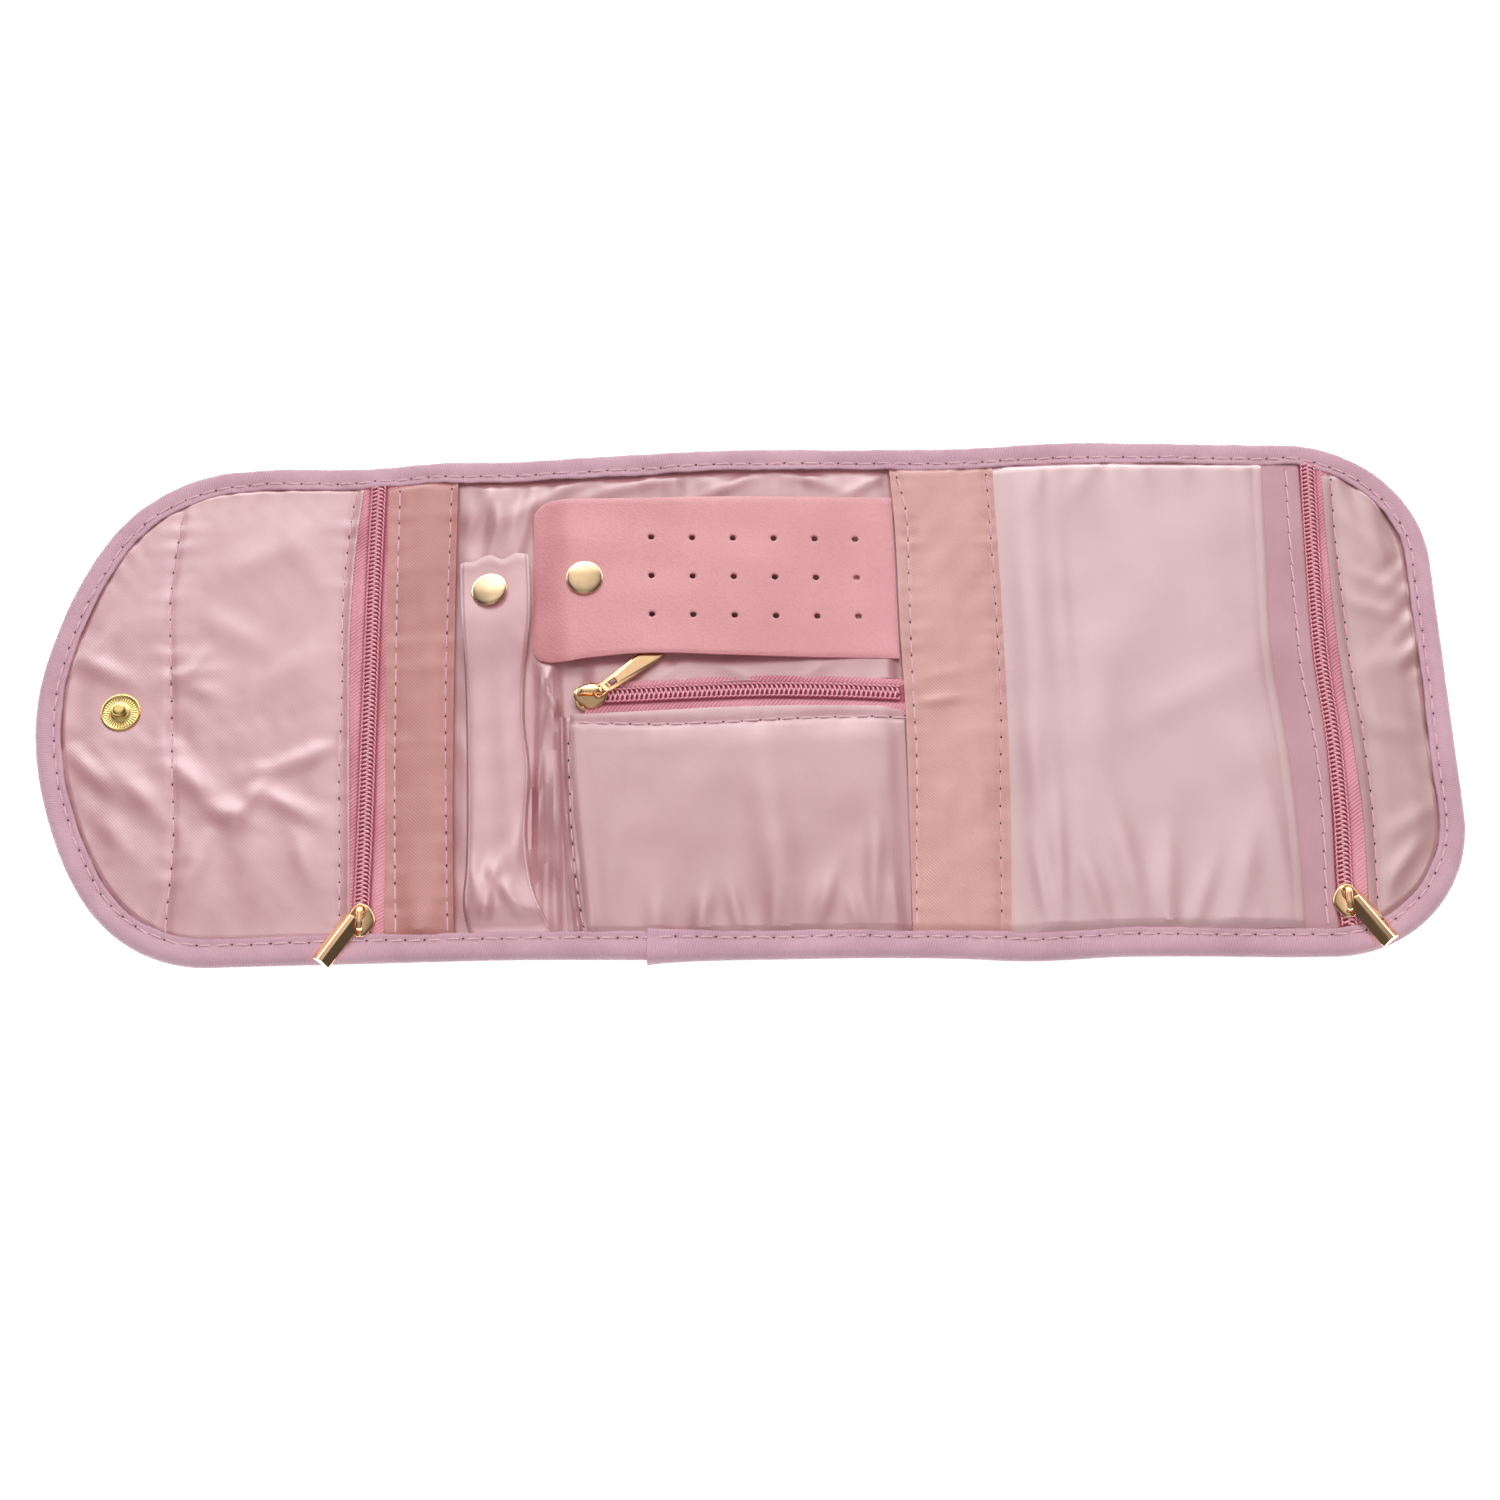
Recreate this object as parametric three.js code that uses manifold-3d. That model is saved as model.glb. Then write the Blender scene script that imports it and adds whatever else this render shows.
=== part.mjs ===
// Jewelry pouch lying open on its back, in millimetres.
// X runs along the pouch from the round flap at -X to the zipped panel at +X, Y points away from
// the person who opens it and Z is up. The origin is the middle of the underside.

import * as THREE from 'three';
import { mergeVertices } from 'three/addons/utils/BufferGeometryUtils.js';
import Module from 'manifold-3d';

const wasm = await Module();
wasm.setup();

// Lengths between fold lines, along X
const FLAP_LENGTH = 76.9;
const CENTER_LENGTH = 122.9;
const RIGHT_SPINE_LENGTH = 28;
const PANEL_LENGTH = 119.5;

// Outline
const BODY_DEPTH = 152;
const FLAP_ROUND = 50;
const CORNER_RADIUS = 38;
const ROUND_STEPS = 24;
const CORNER_STEPS = 10;

// Layers, from the table up
const COVER_THICKNESS = 0.8;
const PADDING_THICKNESS = 2;
const LINING_THICKNESS = 0.4;
const POCKET_SPACE = 1.3;
const FACING_THICKNESS = 0.4;
const EDGE_RISE = 0.3;
const TRIM_THICKNESS = 0.35;

// Clearances
const FIT = 0.3;
const FOLD_GAP = 0.3;
const CLOSED_GAP = 0.5;

// Binding
const BINDING_WIDTH = 7;
const BINDING_WALL = 1.5;
const RIM_INSET = 1.1;
const RIM_HEIGHT = 1.2;
const LIP_BEVEL = 0.4;

// Zips
const ZIP_SLIT = 1.2;
const TAPE_WIDTH = 5.9;
const TAPE_THICKNESS = 0.4;
const COIL_WIDTH = 1.6;
const COIL_HEIGHT = 1.3;
const COIL_PITCH = 2.44;
const COIL_RIDGE = 0.4;
const COIL_SEAT = 0.2;
const FLAP_ZIP_FROM_FOLD = 20.8;
const PANEL_ZIP_FROM_FOLD = 85.3;
const POCKET_ZIP_Y = 1.7;

// Sliders
const SLIDER_HALF_LENGTH = 4.4;
const SLIDER_HALF_WIDTH = 4;
const SLIDER_TOP_THICKNESS = 0.5;
const SLIDER_BASE_THICKNESS = 0.5;
const SLIDER_BASE_HALF_WIDTH = 3.5;
const SLIDER_BASE_HALF_LENGTH = 3.9;
const SLIDER_COIL_GAP = 0.2;
const SLIDER_BASE_CORNER = 1.2;
const SLIDER_STEPS = 20;
const FLANGE_WIDTH = 0.55;
const FLANGE_DROP = 0.85;
const FLANGE_HALF_LENGTH = 2.4;
const POST_WIDTH = 0.7;
const POST_LENGTH = 1.6;
const POST_FROM_END = 1;
const CROWN_LEG_FROM_MIDDLE = 2.45;
const CROWN_WIDTH = 1;
const CROWN_HEIGHT = 3.1;
const CROWN_THICKNESS = 0.8;
const CROWN_CORNER = 0.7;
const SLIDER_FROM_COIL_END = 6.9;
const PANEL_SLIDER_FROM_COIL_END = 5.8;
const POCKET_SLIDER_FROM_COIL_END = 3.4;

// Ring links
const RING_BACK = 1.8;
const RING_REACH = 3.2;
const RING_HALF_WIDTH = 1.8;
const RING_BAR = 0.7;
const RING_THICKNESS = 0.6;
const RING_LIFT = 0.8;

// Pulls
const BARREL_RADIUS = 0.9;
const BARREL_BORE = 0.55;
const BARREL_HALF_WIDTH = 0.75;
const BARREL_STEPS = 12;
const NECK_LENGTH = 3.4;
const NECK_BOTTOM = 0.35;
const NECK_TOP = 0.55;
const BAR_START = 3.2;
const BAR_END = 14.1;
const BAR_HALF_WIDTH = 2.6;
const BAR_TOP = 1.8;
const BAR_BEVEL = 1.1;
const PULL_TILT = 5;
const FLAP_PULL_TURN = -126;
const PANEL_PULL_TURN = -54;
const POCKET_PULL_TURN = 33;
const TAB_LENGTH = 16.8;
const TAB_THICKNESS = 0.8;
const TAB_DROP = 1.2;
const TAB_START = 2.6;
const TAB_NEAR_HALF_WIDTH = 1.8;
const TAB_FAR_HALF_WIDTH = 2.2;
const TAB_CORNER = 0.6;
const TAB_TIP = 2;
const TAB_SLOT_START = 4.2;
const TAB_SLOT_END = 8.6;
const TAB_SLOT_HALF_WIDTH = 0.8;

// Pressed metal: eased edges, rolled edges and the swelling of a stud's head
const METAL_EDGE = 0.3;
const ROLLED_EDGE = 0.5;
const HEAD_SWELL = 0.3;
const HEAD_LENGTH = 1;

// Closure snap
const CLOSURE_FROM_END = 23.2;
const CLOSURE_Y = 0;
const STUD_FLANGE_RADIUS = 5.4;
const STUD_FLANGE_THICKNESS = 0.6;
const STUD_HEAD_RADIUS = 2.05;
const STUD_NECK_RADIUS = 1.6;
const STUD_COLLAR_RADIUS = 2.2;
const STUD_HEIGHT = 3.4;
const STUD_DISH_RADIUS = 3.4;
const STUD_DISH_DEPTH = 0.25;
const STUD_COLLAR_RISE = 0.2;
const STUD_NECK_RISE = 0.6;
const CLOSURE_CAP_RADIUS = 6;
const CLOSURE_CAP_THICKNESS = 1.2;
const CLOSURE_SHANK_RADIUS = 1.2;
const CLOSURE_BORE = 2.6;
const CLOSURE_SOCKET_RADIUS = 5.4;
const CLOSURE_WEB_RADIUS = 2.9;
const BACKING_RADIUS = 5;
const BACKING_THICKNESS = 0.8;
const BACKING_BEVEL = 0.6;

// Small snaps
const SNAP_RISE = 3.8;
const SNAP_FLANGE_RADIUS = 4.5;
const SNAP_FLANGE_THICKNESS = 0.8;
const SNAP_POST_RADIUS = 1.8;
const SNAP_POST_HEIGHT = 3;
const SNAP_SOCKET_RADIUS = 5;
const SNAP_SOCKET_HEIGHT = 2.8;
const SNAP_BORE = 2.2;
const SNAP_WEB = 0.5;
const SNAP_CAP_RADIUS = 5;
const SNAP_CAP_THICKNESS = 1.5;
const SNAP_CAP_ROLL = 0.8;
const SNAP_CAP_RIM = 1.7;
const SNAP_CAP_DISH = 0.2;
const SNAP_SHANK_RADIUS = 0.9;
const SNAP_SHANK_HOLE = 1.2;
const LATHE_STEPS = 18;

// Ring strap
const STRAP_SEAM_FROM_BINDING = 1;
const STRAP_LENGTH = 111.5;
const HOLD_MARGIN = 2;
const STRAP_SEAM_HALF_WIDTH = 11;
const STRAP_END_HALF_WIDTH = 9.05;
const STRAP_SEAM_FROM_FOLD = 16.3;
const STRAP_END_FROM_FOLD = 12;
const STRAP_THICKNESS = 3.1;
const STRAP_CLEARANCE = 0.3;
const STRAP_SEAM_THICKNESS = 1;
const STRAP_RISE = 15;
const STRAP_SWELL = 28;
const STRAP_SNAP_FROM_SEAM = 101;
const STRAP_SNAP_FROM_FOLD = 11.6;

// Earring flap
const LEATHER_THICKNESS = 1;
const EARRING_LENGTH = 99;
const EARRING_DEPTH = 49.5;
const EARRING_FRONT_Y = 11;
const EARRING_CORNER = 5;
const EARRING_BEND = 7.2;
const EARRING_BEND_STEPS = 5;
const EARRING_SNAP_FROM_FREE_EDGE = 14;
const EARRING_SNAP_Y = 36;
const HOLE_COLUMNS = 6;
const HOLE_ROWS = 3;
const HOLE_PITCH_X = 11.25;
const HOLE_PITCH_Y = 11.8;
const HOLE_ROW_DROP = 0.4;
const HOLE_RADIUS = 0.9;
const FIRST_HOLE_FROM_FREE_EDGE = 32.3;
const FIRST_ROW_Y = 48;
const HOLE_STEPS = 8;

// Pocket faces and bands
const ZIP_TO_FACING = 4.9;
const ZIP_TO_BAND = 5;
const ZIP_TO_POCKET_FACE = 5;
const ZIP_TO_TRIM = 2.5;
const ZIP_TO_END_FACING = 4.7;
const POCKET_FACE_LENGTH = 87;
const SIDE_STRIP_WIDTH = 4.9;
const TRIM_WIDTH = 15.5;
const SLIP_MOUTH_FROM_FOLD = 72.5;

// Fold lines and ends
const EDGE_TOP = COVER_THICKNESS + PADDING_THICKNESS + LINING_THICKNESS + POCKET_SPACE
  + FACING_THICKNESS + EDGE_RISE;
const LEFT_SPINE_LENGTH = RIGHT_SPINE_LENGTH + EDGE_TOP + CLOSED_GAP;
const BODY_LENGTH = FLAP_LENGTH + LEFT_SPINE_LENGTH + CENTER_LENGTH + RIGHT_SPINE_LENGTH + PANEL_LENGTH;
const LEFT_END = -BODY_LENGTH / 2;
const RIGHT_END = BODY_LENGTH / 2;
const FLAP_FOLD = LEFT_END + FLAP_LENGTH;
const LEFT_FOLD = FLAP_FOLD + LEFT_SPINE_LENGTH;
const RIGHT_FOLD = LEFT_FOLD + CENTER_LENGTH;
const PANEL_FOLD = RIGHT_FOLD + RIGHT_SPINE_LENGTH;

// Heights
const PADDING_Z = COVER_THICKNESS;
const LINING_Z = PADDING_Z + PADDING_THICKNESS;
const LINING_TOP = LINING_Z + LINING_THICKNESS;
const FACING_Z = LINING_TOP + POCKET_SPACE;
const FACING_TOP = FACING_Z + FACING_THICKNESS;
const TAPE_Z = FACING_Z - TAPE_THICKNESS;
const COIL_TOP = FACING_Z + COIL_HEIGHT;
const SLIDER_TOP_Z = COIL_TOP + SLIDER_COIL_GAP;
const SLIDER_SURFACE = SLIDER_TOP_Z + SLIDER_TOP_THICKNESS;
const RING_Z = SLIDER_SURFACE + RING_LIFT;
const RING_MIDDLE = RING_Z + RING_THICKNESS / 2;
const SNAP_LEVEL = LINING_TOP + SNAP_RISE;
const CLOTH_INSET = BINDING_WIDTH + FIT;
const FILLING_INSET = BINDING_WALL + FIT;
const COIL_END_Y = BODY_DEPTH / 2 - CLOTH_INSET;

// Finishes
const TWILL = finish('mauve twill', 0xc09aa0, 0.85, 0);
const SATIN = finish('blush satin', 0xdbb8ba, 0.45, 0);
const BAND_CLOTH = finish('peach cloth', 0xca9993, 0.7, 0);
const FOAM = finish('white padding', 0xf2efec, 0.95, 0);
const ZIP_CLOTH = finish('rose zip', 0xc88c95, 0.7, 0);
const LEATHER = finish('rose leather', 0xd7a1a4, 0.55, 0);
const GOLD = finish('rose gold', 0xd9a98c, 0.28, 1);

function finish(name, color, roughness, metalness) {
  const material = new THREE.MeshStandardMaterial({ color, roughness, metalness });
  material.name = name;
  return material;
}

function named(name, geometry, material) {
  const mesh = new THREE.Mesh(geometry, material);
  mesh.name = name;
  return mesh;
}

// A closed geometry as a solid that can be cut and joined
function toSolid(geometry) {
  const bare = geometry.index ? geometry.toNonIndexed() : geometry.clone();
  bare.deleteAttribute('normal');
  bare.deleteAttribute('uv');
  const merged = mergeVertices(bare, 1e-4);
  const index = merged.index.array;
  const kept = [];
  for (let i = 0; i < index.length; i += 3) {
    const [a, b, c] = [index[i], index[i + 1], index[i + 2]];
    if (a !== b && b !== c && c !== a) kept.push(a, b, c);
  }
  return new wasm.Manifold(new wasm.Mesh({
    numProp: 3,
    vertProperties: new Float32Array(merged.attributes.position.array),
    triVerts: new Uint32Array(kept),
  }));
}

function toGeometry(solid) {
  const mesh = solid.getMesh();
  const geometry = new THREE.BufferGeometry();
  geometry.setAttribute('position', new THREE.BufferAttribute(mesh.vertProperties, 3));
  geometry.setIndex(new THREE.BufferAttribute(mesh.triVerts, 1));
  geometry.computeVertexNormals();
  return geometry;
}

// Joins the first geometry with the added ones, then cuts the removed ones out
function combine(first, added, removed) {
  let solid = toSolid(first);
  for (const geometry of added) solid = solid.add(toSolid(geometry));
  for (const geometry of removed) solid = solid.subtract(toSolid(geometry));
  return toGeometry(solid);
}

function box(x0, x1, y0, y1, z0, z1) {
  const geometry = new THREE.BoxGeometry(x1 - x0, y1 - y0, z1 - z0);
  return geometry.translate((x0 + x1) / 2, (y0 + y1) / 2, (z0 + z1) / 2);
}

// An outline in XY raised from z0 to z1, with round holes given as [x, y, radius]
function prism(points, z0, z1, holes = []) {
  const shape = new THREE.Shape(points);
  shape.holes = holes.map(([x, y, radius]) => new THREE.Path(circle(x, y, radius, LATHE_STEPS)));
  const geometry = new THREE.ExtrudeGeometry(shape, { depth: z1 - z0, bevelEnabled: false });
  return geometry.translate(0, 0, z0);
}

// An outline in XZ carried along Y from y0 to y1
function prismAlongY(points, y0, y1) {
  const shape = new THREE.Shape(points);
  const geometry = new THREE.ExtrudeGeometry(shape, { depth: y1 - y0, bevelEnabled: false });
  return geometry.rotateX(Math.PI / 2).translate(0, y1, 0);
}

function circle(x, y, radius, steps) {
  const points = [];
  for (let i = 0; i < steps; i += 1) {
    const angle = 2 * Math.PI * i / steps;
    points.push(new THREE.Vector2(x + radius * Math.cos(angle), y + radius * Math.sin(angle)));
  }
  return points;
}

function polygon(pairs) {
  return pairs.map(([x, y]) => new THREE.Vector2(x, y));
}

// A rectangle whose left or right corners are rounded
function roundedRectangle(x0, x1, y0, y1, leftRadius, rightRadius) {
  const shape = new THREE.Shape();
  shape.moveTo(x0 + leftRadius, y0);
  shape.lineTo(x1 - rightRadius, y0);
  if (rightRadius > 0) shape.absarc(x1 - rightRadius, y0 + rightRadius, rightRadius, -Math.PI / 2, 0, false);
  shape.lineTo(x1, y1 - rightRadius);
  if (rightRadius > 0) shape.absarc(x1 - rightRadius, y1 - rightRadius, rightRadius, 0, Math.PI / 2, false);
  shape.lineTo(x0 + leftRadius, y1);
  if (leftRadius > 0) {
    shape.absarc(x0 + leftRadius, y1 - leftRadius, leftRadius, Math.PI / 2, Math.PI, false);
    shape.lineTo(x0, y0 + leftRadius);
    shape.absarc(x0 + leftRadius, y0 + leftRadius, leftRadius, Math.PI, 1.5 * Math.PI, false);
  }
  return withoutRepeats(shape.getPoints(4));
}

function withoutRepeats(points) {
  return points.filter((point, i) => point.distanceTo(points[(i + 1) % points.length]) > 1e-6);
}

// A turned solid: a closed profile of [radius, z] pairs, up the outside and back down the inside
function turned(profile) {
  const points = polygon([...profile, profile[0]]);
  const geometry = new THREE.LatheGeometry(points, LATHE_STEPS).rotateX(Math.PI / 2);
  return toGeometry(toSolid(geometry));
}

// A skin over equal rings of points, closed by a fan at each end
function loft(rings) {
  const size = rings[0].length;
  const index = [];
  for (let j = 0; j + 1 < rings.length; j += 1) {
    for (let i = 0; i < size; i += 1) {
      const a = j * size + i;
      const b = j * size + (i + 1) % size;
      index.push(a, b, b + size, a, b + size, a + size);
    }
  }
  const last = (rings.length - 1) * size;
  for (let i = 1; i + 1 < size; i += 1) {
    index.push(0, i + 1, i);
    index.push(last, last + i, last + i + 1);
  }
  const geometry = new THREE.BufferGeometry();
  geometry.setAttribute('position', new THREE.Float32BufferAttribute(rings.flat(2), 3));
  geometry.setIndex(index);
  return geometry;
}

// The pouch's outline, drawn in by an inset: a half ellipse at the flap and two round corners
function outline(inset) {
  const points = [];
  const half = BODY_DEPTH / 2;
  for (let i = 0; i <= ROUND_STEPS; i += 1) {
    const angle = Math.PI * (0.5 + i / ROUND_STEPS);
    const edge = new THREE.Vector2(FLAP_ROUND * Math.cos(angle), half * Math.sin(angle));
    const normal = new THREE.Vector2(half * Math.cos(angle), FLAP_ROUND * Math.sin(angle)).normalize();
    points.push(edge.addScaledVector(normal, -inset).add(new THREE.Vector2(LEFT_END + FLAP_ROUND, 0)));
  }
  for (const side of [-1, 1]) {
    const middle = new THREE.Vector2(RIGHT_END - CORNER_RADIUS, side * (half - CORNER_RADIUS));
    const start = side < 0 ? -Math.PI / 2 : 0;
    for (let i = 0; i <= CORNER_STEPS; i += 1) {
      const angle = start + Math.PI / 2 * i / CORNER_STEPS;
      const reach = new THREE.Vector2(Math.cos(angle), Math.sin(angle));
      points.push(reach.multiplyScalar(CORNER_RADIUS - inset).add(middle));
    }
  }
  return points;
}

// What a convex outline has on one side of a line across X
function trimOutline(points, limit, side) {
  const kept = [];
  points.forEach((point, i) => {
    const next = points[(i + 1) % points.length];
    const here = side * (point.x - limit);
    const there = side * (next.x - limit);
    if (here >= 0) kept.push(point);
    if (here * there < 0) kept.push(point.clone().lerp(next, here / (here - there)));
  });
  return withoutRepeats(kept);
}

// A flat layer of the pouch between two values of X
function layer(inset, x0, x1, z0, z1, holes = []) {
  const points = trimOutline(trimOutline(outline(inset), x0, 1), x1, -1);
  return prism(points, z0, z1, holes);
}

// The bias binding: a C-shaped profile carried once round the outline
function bindingLoop() {
  const profile = [
    [RIM_INSET, 0],
    [0, RIM_HEIGHT],
    [0, EDGE_TOP - RIM_HEIGHT],
    [RIM_INSET, EDGE_TOP],
    [BINDING_WIDTH - LIP_BEVEL, EDGE_TOP],
    [BINDING_WIDTH, EDGE_TOP - LIP_BEVEL],
    [BINDING_WIDTH, LINING_TOP],
    [BINDING_WALL, LINING_TOP],
    [BINDING_WALL, COVER_THICKNESS],
    [BINDING_WIDTH, COVER_THICKNESS],
    [BINDING_WIDTH, 0],
  ];
  const loops = profile.map(([inset, z]) => outline(inset).map((point) => [point.x, point.y, z]));
  const size = loops[0].length;
  const index = [];
  loops.forEach((loop, j) => {
    const next = (j + 1) % loops.length;
    for (let i = 0; i < size; i += 1) {
      const a = j * size + i;
      const b = j * size + (i + 1) % size;
      const c = next * size + i;
      const d = next * size + (i + 1) % size;
      index.push(a, b, d, a, d, c);
    }
  });
  const geometry = new THREE.BufferGeometry();
  geometry.setAttribute('position', new THREE.Float32BufferAttribute(loops.flat(2), 3));
  geometry.setIndex(index);
  return toSolid(geometry);
}

const BINDING = bindingLoop();

// The stretch of binding between two values of X, on the front (-1), the back (1) or both sides (0)
function bindingPiece(name, x0, x1, side) {
  const y0 = side > 0 ? 0 : -BODY_DEPTH;
  const y1 = side < 0 ? 0 : BODY_DEPTH;
  const window = box(x0, x1, y0, y1, -EDGE_TOP, 2 * EDGE_TOP);
  return named(name, toGeometry(BINDING.intersect(toSolid(window))), TWILL);
}

// Cover, padding and lining of one section, with holes for what is riveted through it
function sectionLayers(name, x0, x1, coverHoles, paddingHoles, liningHoles) {
  const cover = layer(CLOTH_INSET, x0, x1, 0, COVER_THICKNESS, coverHoles);
  const padding = layer(FILLING_INSET, x0, x1, PADDING_Z, LINING_Z, paddingHoles);
  const lining = layer(FILLING_INSET, x0, x1, LINING_Z, LINING_TOP, liningHoles);
  return [
    named(`${name}_cover`, cover, TWILL),
    named(`${name}_padding`, padding, FOAM),
    named(`${name}_lining`, lining, SATIN),
  ];
}

// One half of a zip along X: a flat tape with a ridged coil row along its inner edge
function zipHalf(length) {
  const tape = box(-length / 2, length / 2, ZIP_SLIT / 2, ZIP_SLIT / 2 + TAPE_WIDTH, TAPE_Z, FACING_Z);
  const turns = Math.floor(length / COIL_PITCH);
  const start = -turns * COIL_PITCH / 2;
  const ridges = [[start, FACING_Z - COIL_SEAT]];
  for (let i = 0; i < turns; i += 1) {
    ridges.push([start + i * COIL_PITCH, COIL_TOP - COIL_RIDGE]);
    ridges.push([start + (i + 0.5) * COIL_PITCH, COIL_TOP]);
  }
  ridges.push([-start, COIL_TOP - COIL_RIDGE]);
  ridges.push([-start, FACING_Z - COIL_SEAT]);
  const coil = prismAlongY(polygon(ridges.reverse()), ZIP_SLIT / 2, ZIP_SLIT / 2 + COIL_WIDTH);
  return combine(tape, [coil], []);
}

// Both halves of a zip, with its coil's line along the group's own X
function zip(name, sides, length) {
  const group = new THREE.Group();
  const left = named(`${name}_tape_${sides[0]}`, zipHalf(length), ZIP_CLOTH);
  const right = named(`${name}_tape_${sides[1]}`, zipHalf(length), ZIP_CLOTH);
  right.rotation.z = Math.PI;
  group.add(left, right);
  return group;
}

// A zip's half cut to the outline's round corners, once it stands in its place
function cutToOutline(half) {
  half.updateWorldMatrix(true, false);
  const room = toSolid(layer(CLOTH_INSET, LEFT_END, RIGHT_END, LINING_TOP, COIL_TOP + COIL_RIDGE));
  const fromHalf = room.transform(half.matrixWorld.clone().invert().elements);
  half.geometry = toGeometry(toSolid(half.geometry).intersect(fromHalf));
}

// A slider whose closing end faces -X: base plate, post, top plate with side flanges and bridge
function sliderGeometry() {
  const plate = [];
  for (let i = 0; i < SLIDER_STEPS; i += 1) {
    const angle = 2 * Math.PI * i / SLIDER_STEPS;
    plate.push([SLIDER_HALF_LENGTH * Math.cos(angle), SLIDER_HALF_WIDTH * Math.sin(angle)]);
  }
  const baseMiddle = (LINING_TOP + TAPE_Z) / 2;
  const baseZ = baseMiddle - SLIDER_BASE_THICKNESS / 2;
  const baseTop = baseMiddle + SLIDER_BASE_THICKNESS / 2;
  const [long, wide] = [SLIDER_BASE_HALF_LENGTH, SLIDER_BASE_HALF_WIDTH];
  const corner = SLIDER_BASE_CORNER;
  const base = prism(roundedRectangle(-long, long, -wide, wide, corner, corner), baseZ, baseTop);
  const top = prism(polygon(plate), SLIDER_TOP_Z, SLIDER_SURFACE);
  const postX = POST_FROM_END - SLIDER_BASE_HALF_LENGTH;
  const seat = SLIDER_BASE_THICKNESS / 2;
  const post = box(postX, postX + POST_LENGTH, -POST_WIDTH / 2, POST_WIDTH / 2, baseTop - seat,
    SLIDER_TOP_Z + seat);
  const flanges = [-1, 1].map((side) => {
    const inner = side * (SLIDER_BASE_HALF_WIDTH - FLANGE_WIDTH);
    const outer = side * SLIDER_BASE_HALF_WIDTH;
    return box(-FLANGE_HALF_LENGTH, FLANGE_HALF_LENGTH, Math.min(inner, outer), Math.max(inner, outer),
      SLIDER_TOP_Z - FLANGE_DROP, SLIDER_TOP_Z + seat);
  });
  return combine(top, [base, post, bridgeGeometry(), ...flanges], []);
}

// The bridge that the ring link hangs on: a flat arch over two legs
function bridgeGeometry() {
  const outer = CROWN_LEG_FROM_MIDDLE + CROWN_WIDTH / 2;
  const inner = CROWN_LEG_FROM_MIDDLE - CROWN_WIDTH / 2;
  const foot = SLIDER_SURFACE - SLIDER_TOP_THICKNESS / 2;
  const top = SLIDER_SURFACE + CROWN_HEIGHT;
  const under = top - CROWN_THICKNESS;
  const half = [
    [outer, foot],
    [outer, top - CROWN_CORNER],
    [outer - CROWN_CORNER, top],
  ];
  const innerHalf = [
    [inner - CROWN_CORNER / 2, under],
    [inner, under - CROWN_CORNER / 2],
    [inner, foot],
  ];
  const mirrored = (pairs) => pairs.map(([x, z]) => [-x, z]).reverse();
  const points = [...half, ...mirrored(half), ...mirrored(innerHalf), ...innerHalf];
  return prismAlongY(polygon(points), -CROWN_WIDTH / 2, CROWN_WIDTH / 2);
}

// The ring link: its pivot, the bridge's leg, is at the group's origin and it reaches along +X
function ringGeometry() {
  const far = RING_REACH + RING_BAR / 2;
  const half = RING_HALF_WIDTH;
  const outer = roundedRectangle(-RING_BACK, far, -half, half, RING_BAR, RING_BAR);
  const window = box(RING_BAR - RING_BACK, far - RING_BAR, RING_BAR - half, half - RING_BAR,
    RING_Z - RING_THICKNESS, RING_Z + 2 * RING_THICKNESS);
  return combine(prism(outer, RING_Z, RING_Z + RING_THICKNESS), [], [window]);
}

// The barrel of a pull, round the ring link's outer bar, which is its own Y axis
function barrel(radius, halfWidth) {
  return prismAlongY(circle(0, 0, radius, BARREL_STEPS), -halfWidth, halfWidth);
}

// A bar pull: barrel, neck and a long bar with a bevelled top
function barPull() {
  const neck = box(0, NECK_LENGTH, -BARREL_HALF_WIDTH, BARREL_HALF_WIDTH, -NECK_BOTTOM, NECK_TOP);
  const low = roundedRectangle(BAR_START, BAR_END, -BAR_HALF_WIDTH, BAR_HALF_WIDTH, 1, 1);
  const edge = BAR_BEVEL;
  const [x0, x1, wide] = [BAR_START + edge, BAR_END - edge, BAR_HALF_WIDTH - edge];
  const middle = (BAR_TOP - NECK_BOTTOM) / 2;
  const high = roundedRectangle(x0, x1, -wide, wide, 1 - edge / 2, 1 - edge / 2);
  const rings = [low, low, high].map((points, i) => {
    const z = [-NECK_BOTTOM, middle, BAR_TOP][i];
    return points.map((point) => [point.x, point.y, z]);
  });
  const bore = barrel(BARREL_BORE, 2 * BARREL_HALF_WIDTH);
  return combine(barrel(BARREL_RADIUS, BARREL_HALF_WIDTH), [neck, loft(rings)], [bore]);
}

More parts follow.
